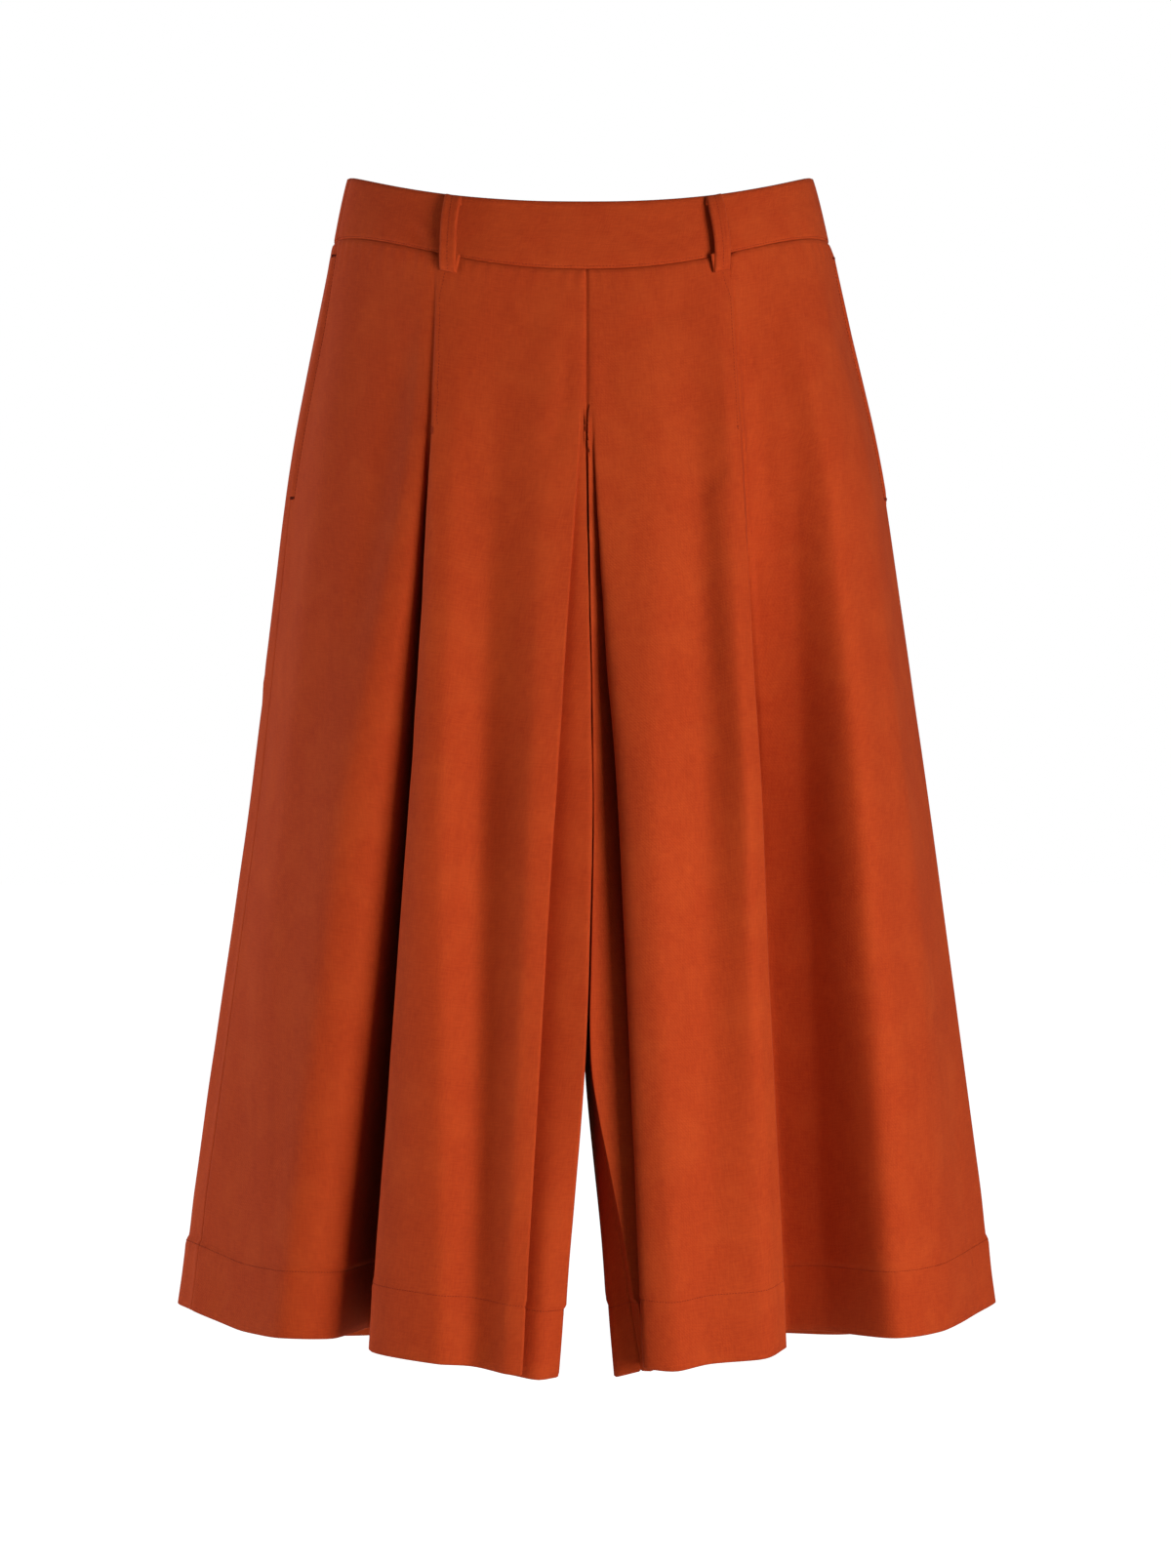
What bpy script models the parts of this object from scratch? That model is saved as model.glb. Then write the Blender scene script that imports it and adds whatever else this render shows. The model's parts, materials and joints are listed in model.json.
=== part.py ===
"""High-waisted pleated culottes, filled out as if worn, with nobody in them.

Frame: metres, +Z up. The origin is the middle of the waist opening, level with the
waistband's top edge at the sides. The front faces -Y and the wearer's left is +X.
Each cloth piece is one closed wall, and sewn edges stand 0.3 mm apart.

Every size and table below is in millimetres. A cloth panel is a grid of points: its
columns follow the fold lines of a table, from the waist seam down to the hem, and its
rows are sections of the garment. The wall is the grid and a copy of it, moved inwards.
"""

import math
from collections import namedtuple

import bmesh
import bpy
import numpy as np

MM = 0.001

# Cloth
CLOTH = 1.4
BAND_CLOTH = 2.4
HEM_CLOTH = 2.4
SEAM_GAP = 0.3
WAIST_GAP = 0.45

# Heights of the sections, from the waistband's top edge at the sides
HIP_Z = -175.0
FORK_Z = -335.0
THIGH_Z = -400.0
KNEE_Z = -560.0

# Hem turned up inside: its top, middle and edge are a row each
HEM_TURN = 41.0
HEM_STEP = 3.0
HEM_MIDDLE = 20.0
HEM_ROWS = 3

# Roundness of the rise curves, which meet at the fork
RISE_POWER = 2.2
RISE_STEPS = 6

# Rows of each panel, above and below the crotch
ROWS_ABOVE = 10
ROWS_BELOW = 13

# Waist rings: half widths at the wearer's right and left, half depths at front and back,
# height at the sides, how far the middle of the front and of the back dips below it, and
# how late the dip starts
Ring = namedtuple("Ring", "right left front back side_z front_dip back_dip dip_power")
BAND_TOP = Ring(153.5, 145.5, 100.0, 95.0, 0.0, 25.6, 4.0, 2.0)
BAND_SEAM = Ring(162.0, 155.5, 108.0, 102.0, -41.0, 26.5, 5.0, 3.0)
RING_POWER = 2.3

# Waistband
BAND_FRONT_COLUMNS = 24
BAND_BACK_COLUMNS = 12
BAND_ROWS = 3
CENTRE_BACK = math.radians(270)

# Fold lines. waist: x on the waist seam, where every pleat is stitched flat.
# hip, fork, thigh, knee: (x, y) on those sections. With a fork the line follows the rise
# curve from the hip down to it. A fork or knee of None is passed straight.
# hem: (x, y, z). spans: mesh columns up to the next line. crisp: a pressed fold or an edge.
Fold = namedtuple("Fold", "name spans crisp waist hip fork thigh knee hem")

FRONT_RIGHT = (
    Fold("side seam", 3, True, -159.0, (-186, -10), None, (-209, -14), None, (-252, -20, -720)),
    Fold("side", 2, False, -140.0, (-163, -66), None, (-189, -70), None, (-221, -62, -727)),
    Fold("side trough", 2, False, -112.0, (-126, -95), None, (-168, -103), None, (-206, -84, -728)),
    Fold("side ridge", 2, False, -101.0, (-109, -109), None, (-147, -125), None, (-188, -105, -728)),
    Fold("pleat shoulder", 2, False, -96.8, (-99.5, -112), None, (-118, -120), None, (-156, -98, -729)),
    Fold("pleat valley", 1, False, -94.6, (-97, -112), None, (-109.5, -90), None, (-138, -34, -730)),
    Fold("pleat tuck", 2, True, -93.6, (-96, -113), None, (-103, -84), None, (-126, -28, -731)),
    Fold("pleat edge", 2, False, -92.2, (-94.5, -118), None, (-108, -137), None, (-133, -129, -733)),
    Fold("panel ridge", 3, False, -74.0, (-82, -121), None, (-90, -149), None, (-92, -160, -737)),
    Fold("panel trough", 2, False, -50.0, (-56, -120), None, (-65, -137), None, (-70, -155, -739)),
    Fold("panel front", 2, False, -20.0, (-27, -127), None, (-35, -154), None, (-50, -168, -742)),
    Fold("centre fold", 2, True, -3.0, (-4.5, -127), None, (-19, -153), None, (-38, -170, -743)),
    Fold("centre tuck", 2, True, -2.4, (-3.6, -126.8), None, (-22, -130), None, (-47, -140, -746)),
    Fold("underlay", 2, False, -1.6, (-2.4, -126.6), None, (-11, -136), None, (-30, -150, -748)),
    Fold("inner edge", 3, True, -0.9, (-0.9, -126.4), None, (3.9, -138), (0, -147), (-17, -138, -748)),
    Fold("inseam", 0, True, -0.15, (-0.15, -126.3), (3.85, 12), (3.9, 10), (-4, -10), (-17, -55, -749)),
)

FRONT_LEFT = (
    Fold("side seam", 3, True, 155.3, (188, 4), None, (221, 12), None, (264, 14, -719)),
    Fold("side", 2, False, 138.0, (176, -56), None, (200, -68), None, (226, -62, -728)),
    Fold("side ridge", 2, False, 120.0, (151, -97), None, (171, -109), None, (191, -88, -730)),
    Fold("side trough", 2, False, 106.0, (126, -97), None, (135, -80), None, (150, -42, -731)),
    Fold("pleat valley", 2, False, 95.0, (101.5, -102), None, (113, -67), None, (128, -24, -733)),
    Fold("pleat tuck", 2, True, 90.6, (96.5, -113), None, (106.5, -63), None, (118, -25, -734)),
    Fold("pleat edge", 2, True, 89.2, (94.5, -118), None, (107.5, -140), None, (123, -122, -732)),
    Fold("panel ridge", 2, False, 80.0, (86, -121), None, (97, -152), None, (109, -143, -736)),
    Fold("panel trough", 2, False, 60.0, (68, -119), None, (72, -143), None, (76, -152, -738)),
    Fold("panel bulge", 2, False, 30.0, (41, -126), None, (41, -160), None, (54, -165, -741)),
    Fold("centre fold", 2, False, 3.0, (4.5, -127), None, (20, -148), None, (34, -157, -740)),
    Fold("centre tuck", 2, True, 2.4, (3.6, -126.8), None, (26, -106), None, (46, -138, -742)),
    Fold("underlay", 2, False, 1.6, (2.4, -126.6), None, (14, -124), None, (42, -139, -743)),
    Fold("inner edge", 3, True, 0.9, (0.9, -126.4), None, (4.6, -136), (1.7, -137), (39, -140, -744)),
    Fold("inseam", 0, True, 0.15, (0.15, -126.3), (4.15, 12), (5.2, -35), (2.2, -118), (33, -138, -744)),
)

BACK_RIGHT = (
    Fold("inseam", 3, True, -0.15, (-0.15, 140), (3.85, 12), (3.9, 10), (-4, -10), (-17, -55, -749)),
    Fold("inner leg", 3, False, -12.0, (-14, 140), (0, 74), (-1.5, 66), None, (-17, 22, -750)),
    Fold("seat", 3, False, -35.0, (-42, 140), None, (-26, 122), None, (-30, 92, -752)),
    Fold("back trough", 3, False, -62.0, (-80, 130), None, (-78, 135), None, (-80, 120, -755)),
    Fold("back ridge", 3, False, -90.0, (-115, 112), None, (-120, 138), None, (-124, 147, -755)),
    Fold("outer trough", 3, False, -120.0, (-146, 84), None, (-162, 107), None, (-174, 110, -751)),
    Fold("outer ridge", 3, False, -143.0, (-176, 50), None, (-204, 72), None, (-233, 84, -738)),
    Fold("widest", 2, False, -161.5, (-189.5, 9), None, (-217, 18), None, (-263, 24, -721)),
    Fold("side seam", 0, True, -159.0, (-186, -10), None, (-209, -14), None, (-252, -20, -720)),
)

BACK_LEFT = (
    Fold("inseam", 2, True, 0.15, (0.15, 140), (4.15, 12), (5.2, -35), (2.2, -118), (33, -138, -744)),
    Fold("inner edge", 2, False, 5.0, (6, 140), (6.5, 42), (5.6, 8), (1.0, -84), (17, -126, -749)),
    Fold("inner leg", 2, False, 14.0, (17, 140), (5, 84), (2.5, 72), (0, 20), (19, -14, -750)),
    Fold("seat", 3, False, 36.0, (44, 140), None, (34, 124), None, (34, 92, -752)),
    Fold("back trough", 3, False, 62.0, (80, 130), None, (82, 136), None, (84, 122, -754)),
    Fold("back ridge", 3, False, 90.0, (115, 112), None, (122, 138), None, (128, 147, -754)),
    Fold("outer trough", 3, False, 118.0, (146, 84), None, (163, 106), None, (178, 108, -750)),
    Fold("outer ridge", 4, False, 140.0, (178, 46), None, (204, 68), None, (232, 84, -737)),
    Fold("side seam", 0, True, 155.3, (188, 4), None, (221, 12), None, (264, 14, -719)),
)

# Pockets in the side seams: the mouth's ends, how far it gapes, and the flat bag
POCKET_MOUTH_TOP = -50.0
POCKET_MOUTH_BOTTOM = -206.0
POCKET_GAPE = 2.6
POCKET_DEPTH = 300.0
POCKET_WALL = 1.6
POCKET_STANDOFF = 3.4
POCKET_COLUMNS = 6
POCKET_ROWS = 9
POCKET_REACH_SHARE = 0.16
POCKET_INSET = 4.0
# The bag is widest where this share of a half turn passes a quarter: from top to bottom
POCKET_ROUND_TOP = 0.25
POCKET_ROUND_LENGTH = 0.6

# Belt loops: where on the waist ring, from the top edge down
Loop = namedtuple("Loop", "name panel x_top x_foot front")
LOOPS = (
    Loop("belt_loop_front_right", "front_right", -87.0, -84.8, True),
    Loop("belt_loop_front_left", "front_left", 84.0, 83.2, True),
    Loop("belt_loop_back_right", "back_right", -70.0, -72.0, False),
    Loop("belt_loop_back_left", "back_left", 70.0, 72.0, False),
)
LOOP_WIDTH = 10.3
LOOP_CLOTH = 1.6
LOOP_BOW = 5.0
LOOP_GAP = 0.4
LOOP_FOOT = 11.0
LOOP_TOP = 0.6
LOOP_STEPS = 12
LOOP_ROUNDNESS = 0.6
SMALL_TURN = 0.02

# Concealed centre-back zip: slider and pull tab
SLIDER_WIDTH = 5.0
SLIDER_DEPTH = 2.6
SLIDER_HEIGHT = 8.0
SLIDER_TOP_Z = -6.0
EAR_THICKNESS = 1.0
EAR_REACH = 3.4
EAR_HEIGHT = 2.6
PIN_RADIUS = 0.6
PIN_REACH = 2.2
EYE_RADIUS = 1.5
EYE_BORE = 0.95
EYE_WIDTH = 2.2
TAB_THICKNESS = 1.0
TAB_LENGTH = 17.0
TAB_FOOT_WIDTH = 5.0
ROUND_STEPS = 16

# Finishes: sRGB colour, roughness, metallic
Finish = namedtuple("Finish", "name colour roughness metallic")
TWILL = Finish("rust_twill", (0.66, 0.23, 0.11), 0.85, 0.0)
METAL = Finish("painted_zip_metal", (0.42, 0.15, 0.09), 0.4, 0.6)

SHADE_ANGLE = math.radians(40)


def clear_scene():
    for thing in list(bpy.data.objects):
        bpy.data.objects.remove(thing)


def to_linear(value):
    """One sRGB channel as a linear one."""
    if value <= 0.04045:
        return value / 12.92
    return ((value + 0.055) / 1.055) ** 2.4


def make_material(name, finish):
    material = bpy.data.materials.new(name)
    material.use_nodes = True
    shader = material.node_tree.nodes["Principled BSDF"]
    colour = tuple(to_linear(value) for value in finish.colour)
    shader.inputs["Base Color"].default_value = (*colour, 1.0)
    shader.inputs["Roughness"].default_value = finish.roughness
    shader.inputs["Metallic"].default_value = finish.metallic
    return material


def make_node(name, builder, finish, location=(0.0, 0.0, 0.0)):
    """A named object from a bmesh, with its own material."""
    mesh = bpy.data.meshes.new(name)
    builder.to_mesh(mesh)
    builder.free()
    mesh.shade_smooth()
    mesh.set_sharp_from_angle(angle=SHADE_ANGLE)
    mesh.materials.append(make_material(f"{name}_{finish.name}", finish))
    node = bpy.data.objects.new(name, mesh)
    node.location = location
    bpy.context.scene.collection.objects.link(node)
    return node


# ---- the waist rings ----


def ring_depth(ring, x, front):
    """y of the ring at x."""
    half_width = ring.right if x < 0 else ring.left
    share = min(abs(x) / half_width, 1.0)
    rise = (1.0 - share**RING_POWER) ** (1.0 / RING_POWER)
    return -ring.front * rise if front else ring.back * rise


def ring_height(ring, y):
    if y < 0:
        return ring.side_z - ring.front_dip * (-y / ring.front) ** ring.dip_power
    return ring.side_z - ring.back_dip * (y / ring.back) ** ring.dip_power


def ring_point(ring, turn):
    """A point by its turn: 0 at the wearer's right side, a quarter turn at the front."""
    across = math.cos(turn)
    along = math.sin(turn)
    half_width = ring.right if across > 0 else ring.left
    half_depth = ring.front if along > 0 else ring.back
    x = -math.copysign(half_width * abs(across) ** (2 / RING_POWER), across)
    y = -math.copysign(half_depth * abs(along) ** (2 / RING_POWER), along)
    return np.array((x, y, ring_height(ring, y)))


def seam_turn(x, front):
    """The turn at which the waist seam passes x."""
    half_width = BAND_SEAM.right if x < 0 else BAND_SEAM.left
    across = math.copysign((abs(x) / half_width) ** (RING_POWER / 2), -x)
    turn = math.acos(max(-1.0, min(1.0, across)))
    return turn if front else 2 * math.pi - turn


# ---- panels ----


def waist_point(fold, front):
    """Where a fold line starts, just under the waistband. The side seams lie on the front half."""
    y = ring_depth(BAND_SEAM, fold.waist, front or fold.name == "side seam")
    return fold.waist, y, ring_height(BAND_SEAM, y) - WAIST_GAP


def rise_curve(hip, fork):
    """From the hip down to the fork, as a quarter of an oval."""
    points = []
    for step in range(RISE_STEPS + 1):
        angle = math.pi / 2 * step / RISE_STEPS
        level = math.cos(angle) ** (2 / RISE_POWER)
        down = math.sin(angle) ** (2 / RISE_POWER)
        x = hip[0] + (fork[0] - hip[0]) * down
        points.append((x, fork[1] + (hip[1] - fork[1]) * level, HIP_Z + (FORK_Z - HIP_Z) * down))
    return points


def row_heights(top, hem):
    """Heights of one column: even down to the fork, even below it, then the hem turn."""
    above = np.linspace(top, FORK_Z, ROWS_ABOVE + 1)
    below = np.linspace(FORK_Z, hem + HEM_TURN + HEM_STEP, ROWS_BELOW + 1)
    turned = (hem + HEM_TURN, hem + HEM_MIDDLE, hem)
    return np.concatenate((above, below[1:], turned))


def soften(values):
    """Evens out the bends between sections, the ends apart."""
    middle = (values[:-2] + 2 * values[1:-1] + values[2:]) / 4
    return np.concatenate((values[:1], middle, values[-1:]))


def fold_line(fold, front):
    """The points of one fold line, a row each. The inseam isn't softened from the fork down."""
    start = waist_point(fold, front)
    knots = [start]
    if fold.fork:
        knots.extend(rise_curve(fold.hip, fold.fork))
    else:
        knots.append((*fold.hip, HIP_Z))
    knots.append((*fold.thigh, THIGH_Z))
    if fold.knee:
        knots.append((*fold.knee, KNEE_Z))
    knots.append(fold.hem)
    knots = np.array(knots)
    heights = row_heights(start[2], fold.hem[2])
    x = np.interp(-heights, -knots[:, 2], knots[:, 0])
    y = np.interp(-heights, -knots[:, 2], knots[:, 1])
    free = ROWS_ABOVE if fold.name == "inseam" else len(heights)
    x[:free] = soften(x[:free])
    y[:free] = soften(y[:free])
    return np.stack((x, y, heights), axis=1)


def tangents(points):
    """Tangents of a smooth curve through the points, no longer than the shorter stretch beside each."""
    steps = np.diff(points, axis=0)
    lengths = np.maximum(np.linalg.norm(steps, axis=1, keepdims=True), 1e-6)
    slopes = steps / lengths
    before, after = lengths[:-1], lengths[1:]
    inner = (slopes[:-1] * before + slopes[1:] * after) / (before + after)
    return np.concatenate((steps[:1], inner * np.minimum(before, after), steps[-1:]))


def curve_through(points, spans):
    """A smooth curve through the points, cut into the spans given for each stretch."""
    slopes = tangents(points)
    out = [points[0]]
    for index, count in enumerate(spans):
        for step in range(1, count + 1):
            t = step / count
            out.append(
                points[index] * (2 * t**3 - 3 * t**2 + 1)
                + slopes[index] * (t**3 - 2 * t**2 + t)
                + points[index + 1] * (3 * t**2 - 2 * t**3)
                + slopes[index + 1] * (t**3 - t**2)
            )
    return out


def section(points, folds):
    """One row of a panel: smooth between pressed folds, with a corner at each of them."""
    corners = [index for index, fold in enumerate(folds) if fold.crisp]
    row = [points[0]]
    for first, last in zip(corners[:-1], corners[1:]):
        spans = [fold.spans for fold in folds[first:last]]
        row.extend(curve_through(points[first : last + 1], spans)[1:])
    return row


def onto_waist_seam(point):
    """Moves a point of the top row straight out or in to the waist ring."""
    x, y = point[:2]
    half_width = BAND_SEAM.right if x < 0 else BAND_SEAM.left
    half_depth = BAND_SEAM.front if y < 0 else BAND_SEAM.back
    reach = (abs(x) / half_width) ** RING_POWER + (abs(y) / half_depth) ** RING_POWER
    x, y = point[:2] / reach ** (1 / RING_POWER)
    return x, y, ring_height(BAND_SEAM, y) - WAIST_GAP


def panel_grid(folds, front):
    lines = np.array([fold_line(fold, front) for fold in folds])
    grid = np.array([section(lines[:, row], folds) for row in range(lines.shape[1])])
    grid[0] = [onto_waist_seam(point) for point in grid[0]]
    return grid


def unit(vectors):
    return vectors / np.maximum(np.linalg.norm(vectors, axis=-1, keepdims=True), 1e-9)


def directions_along(grid, axis):
    """Mean direction of the two edges that meet at each point."""
    steps = unit(np.diff(grid, axis=axis))
    first = np.take(steps, [0], axis=axis)
    last = np.take(steps, [-1], axis=axis)
    before = np.concatenate((first, steps), axis=axis)
    after = np.concatenate((steps, last), axis=axis)
    return unit(before + after)


def outward_normals(grid, side):
    across = directions_along(grid, 1)
    down = directions_along(grid, 0)
    return unit(-side * np.cross(down, across))


def level(normals):
    """Turns normals level, so that an edge across them stays square."""
    return unit(normals * (1.0, 1.0, 0.0))


def share_normals(first, first_column, second, second_column, rows):
    """Gives two sewn edges one set of normals, so that their walls meet face to face."""
    mean = unit(first[rows, first_column] + second[rows, second_column])
    first[rows, first_column] = mean
    second[rows, second_column] = mean


def trim_edge(grid, column, amount):
    """Moves an edge column back from its seam, along the cloth."""
    neighbour = 1 if column == 0 else -2
    grid[:, column] += unit(grid[:, neighbour] - grid[:, column]) * np.reshape(amount, (-1, 1))


def mouth_gape(grid):
    """How far the front edge stands back from the side seam, most in the pocket mouth."""
    share = (grid[:, 0, 2] - POCKET_MOUTH_TOP) / (POCKET_MOUTH_BOTTOM - POCKET_MOUTH_TOP)
    inside = np.sin(np.pi * np.clip(share, 0.0, 1.0))
    return SEAM_GAP / 2 + POCKET_GAPE * inside


def wall(outer, normals, thickness):
    """A closed wall between a grid and its copy moved inwards. thickness: one per row."""
    inner = outer - normals * np.reshape(thickness, (-1, 1, 1))
    rows, columns = outer.shape[:2]
    builder = bmesh.new()
    skins = []
    for skin in (outer, inner):
        skins.append([[builder.verts.new(point * MM) for point in row] for row in skin])
    for row in range(rows - 1):
        for column in range(columns - 1):
            corners = ((row, column), (row + 1, column), (row + 1, column + 1), (row, column + 1))
            builder.faces.new([skins[0][r][c] for r, c in corners])
            builder.faces.new([skins[1][r][c] for r, c in reversed(corners)])
    rim = [(0, column) for column in range(columns)]
    rim += [(row, columns - 1) for row in range(1, rows)]
    rim += [(rows - 1, column) for column in range(columns - 2, -1, -1)]
    rim += [(row, 0) for row in range(rows - 2, 0, -1)]
    for (r, c), (r2, c2) in zip(rim, rim[1:] + rim[:1]):
        builder.faces.new((skins[0][r][c], skins[0][r2][c2], skins[1][r2][c2], skins[1][r][c]))
    builder.normal_update()
    bmesh.ops.recalc_face_normals(builder, faces=builder.faces)
    return builder


def panel_thickness(rows):
    """Single cloth, and two layers in the turned-up hem."""
    return np.array([CLOTH] * (rows - HEM_ROWS) + [HEM_CLOTH] * HEM_ROWS)


def make_panels():
    """The four panels. Their normals are settled together, then each is trimmed and made."""
    right, left = -1, 1
    grids = {
        "front_right": panel_grid(FRONT_RIGHT, True),
        "front_left": panel_grid(FRONT_LEFT, True),
        "back_right": panel_grid(BACK_RIGHT, False),
        "back_left": panel_grid(BACK_LEFT, False),
    }
    normals = {
        name: outward_normals(grid, right if name.endswith("right") else left)
        for name, grid in grids.items()
    }
    every = slice(None)
    body = slice(0, ROWS_ABOVE)
    legs = slice(ROWS_ABOVE, None)
    share_normals(normals["front_right"], 0, normals["back_right"], -1, every)
    share_normals(normals["front_left"], 0, normals["back_left"], -1, every)
    share_normals(normals["front_right"], -1, normals["back_right"], 0, legs)
    share_normals(normals["front_left"], -1, normals["back_left"], 0, legs)
    share_normals(normals["front_right"], -1, normals["front_left"], -1, body)
    share_normals(normals["back_right"], 0, normals["back_left"], 0, body)
    for facing in normals.values():
        facing[0] = level(facing[0])
    below_fork = np.arange(len(grids["front_right"])) >= ROWS_ABOVE
    for name, grid in grids.items():
        is_front = name.startswith("front")
        trim_edge(grid, -1 if is_front else 0, below_fork * SEAM_GAP / 2)
        if is_front:
            trim_edge(grid, 0, mouth_gape(grid))
        else:
            trim_edge(grid, -1, SEAM_GAP / 2)
        make_node(name, wall(grid, normals[name], panel_thickness(len(grid))), TWILL)
    return grids, normals


# ---- waistband ----


def band_grid(first_turn, last_turn, columns):
    rows = []
    for row in range(BAND_ROWS):
        share = row / (BAND_ROWS - 1)
        line = []
        for turn in np.linspace(first_turn, last_turn, columns + 1):
            top = ring_point(BAND_TOP, turn)
            line.append(top + (ring_point(BAND_SEAM, turn) - top) * share)
        rows.append(line)
    return np.array(rows)


def make_waistband():
    right_seam = seam_turn(FRONT_RIGHT[0].waist, True)
    left_seam = seam_turn(FRONT_LEFT[0].waist, True)
    grids = {
        "waistband_front": band_grid(right_seam, left_seam, BAND_FRONT_COLUMNS),
        "waistband_back_left": band_grid(left_seam, CENTRE_BACK, BAND_BACK_COLUMNS),
        "waistband_back_right": band_grid(CENTRE_BACK, 2 * math.pi + right_seam, BAND_BACK_COLUMNS),
    }
    normals = {name: level(outward_normals(grid, -1)) for name, grid in grids.items()}
    names = list(grids)
    for name, following in zip(names, names[1:] + names[:1]):
        share_normals(normals[name], -1, normals[following], 0, slice(None))
    for name, grid in grids.items():
        trim_edge(grid, 0, SEAM_GAP / 2)
        trim_edge(grid, -1, SEAM_GAP / 2)
        make_node(name, wall(grid, normals[name], np.full(BAND_ROWS, BAND_CLOTH)), TWILL)


# ---- belt loops ----


def make_loop(loop, panel):
    """A strap over the band and the top of a panel, bowed away from them between its two ends."""
    top = ring_point(BAND_TOP, seam_turn(loop.x_top, loop.front))
    seam = ring_point(BAND_SEAM, seam_turn(loop.x_foot, loop.front))
    slope = unit(seam - top)
    band_length = np.linalg.norm(seam - top)
    column = np.argmin(np.abs(panel[0, :, 0] - loop.x_foot))
    foot_slope = unit(panel[1, column] - panel[0, column])
    beside = ring_point(BAND_SEAM, seam_turn(loop.x_foot, loop.front) + SMALL_TURN)
    across = unit(beside - seam)
    outwards = unit(np.cross(across, slope))
    outwards *= math.copysign(1.0, np.dot(outwards, (seam[0], seam[1], 0.0)))
    rows = []
    for step in range(LOOP_STEPS + 1):
        share = step / LOOP_STEPS
        bow = LOOP_BOW * math.sin(math.pi * share) ** LOOP_ROUNDNESS
        down = LOOP_TOP + (band_length + LOOP_FOOT - LOOP_TOP) * share
        on_band = min(down, band_length)
        middle = top + slope * on_band + foot_slope * (down - on_band)
        middle = middle + outwards * (LOOP_GAP + LOOP_CLOTH + bow)
        rows.append([middle - across * LOOP_WIDTH / 2, middle + across * LOOP_WIDTH / 2])
    grid = np.array(rows)
    side = math.copysign(1.0, np.dot(outward_normals(grid, 1)[0, 0], outwards))
    normals = outward_normals(grid, side)
    make_node(loop.name, wall(grid, normals, np.full(LOOP_STEPS + 1, LOOP_CLOTH)), TWILL)


# ---- pockets ----


def sample(grid, column, row):
    """A point between the grid's points."""
    c = min(int(column), grid.shape[1] - 2)
    r = min(int(row), grid.shape[0] - 2)
    along, down = column - c, row - r
    upper = grid[r, c] * (1 - along) + grid[r, c + 1] * along
    lower = grid[r + 1, c] * (1 - along) + grid[r + 1, c + 1] * along
    return upper * (1 - down) + lower * down


def make_pocket(name, grid, normals):
    """A flat bag inside the front panel, from the side seam towards the front."""
    last_row = np.interp(POCKET_DEPTH, -grid[:, 0, 2], np.arange(len(grid)))
    furthest = (grid.shape[1] - 1) * POCKET_REACH_SHARE
    points = []
    facing = []
    for share in np.linspace(0.0, 1.0, POCKET_ROWS):
        row = share * last_row
        width = math.sin(math.pi * (POCKET_ROUND_TOP + POCKET_ROUND_LENGTH * share))
        reaches = np.linspace(0.0, width, POCKET_COLUMNS)
        inset = unit(grid[int(row), 1] - grid[int(row), 0]) * POCKET_INSET
        normal_row = [unit(sample(normals, furthest * reach, row)) for reach in reaches]
        point_row = [sample(grid, furthest * reach, row) + inset * (1 - reach) for reach in reaches]
        facing.append(normal_row)
        points.append(np.array(point_row) - np.array(normal_row) * POCKET_STANDOFF)
    thickness = np.full(POCKET_ROWS, POCKET_WALL)
    make_node(name, wall(np.array(points), np.array(facing), thickness), TWILL)


# ---- zip end ----


def box(builder, low, high):
    made = bmesh.ops.create_cube(builder, size=1.0)["verts"]
    for vertex in made:
        for axis in range(3):
            share = vertex.co[axis] + 0.5
            vertex.co[axis] = (low[axis] + (high[axis] - low[axis]) * share) * MM


def rod(name, radius, half_length):
    """A closed cylinder along X, as a helper object."""
    builder = bmesh.new()
    turned = bmesh.ops.create_cone(
        builder,
        cap_ends=True,
        segments=ROUND_STEPS,
        radius1=radius * MM,
        radius2=radius * MM,
        depth=2 * half_length * MM,
    )["verts"]
    for vertex in turned:
        vertex.co = (vertex.co.z, vertex.co.y, -vertex.co.x)
    return helper(name, builder)


def helper(name, builder):
    mesh = bpy.data.meshes.new(name)
    builder.to_mesh(mesh)
    builder.free()
    thing = bpy.data.objects.new(name, mesh)
    thing.hide_render = True
    thing.display_type = "WIRE"
    bpy.context.scene.collection.objects.link(thing)
    return thing


def combine(node, operation, other):
    other.parent = node
    step = node.modifiers.new(f"{operation.lower()}_{other.name}", "BOOLEAN")
    step.operation = operation
    step.object = other


def pin_place():
    """The pin's middle, on the outside of the band at the centre back."""
    z = SLIDER_TOP_Z - SLIDER_HEIGHT / 2
    share = (z - ring_height(BAND_TOP, BAND_TOP.back)) / (BAND_SEAM.side_z - BAND_TOP.side_z)
    face = BAND_TOP.back + (BAND_SEAM.back - BAND_TOP.back) * share
    lean = (BAND_SEAM.back - BAND_TOP.back) / (BAND_TOP.side_z - BAND_SEAM.side_z)
    back = face + lean * SLIDER_HEIGHT / 2 + SEAM_GAP
    return back, z


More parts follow.
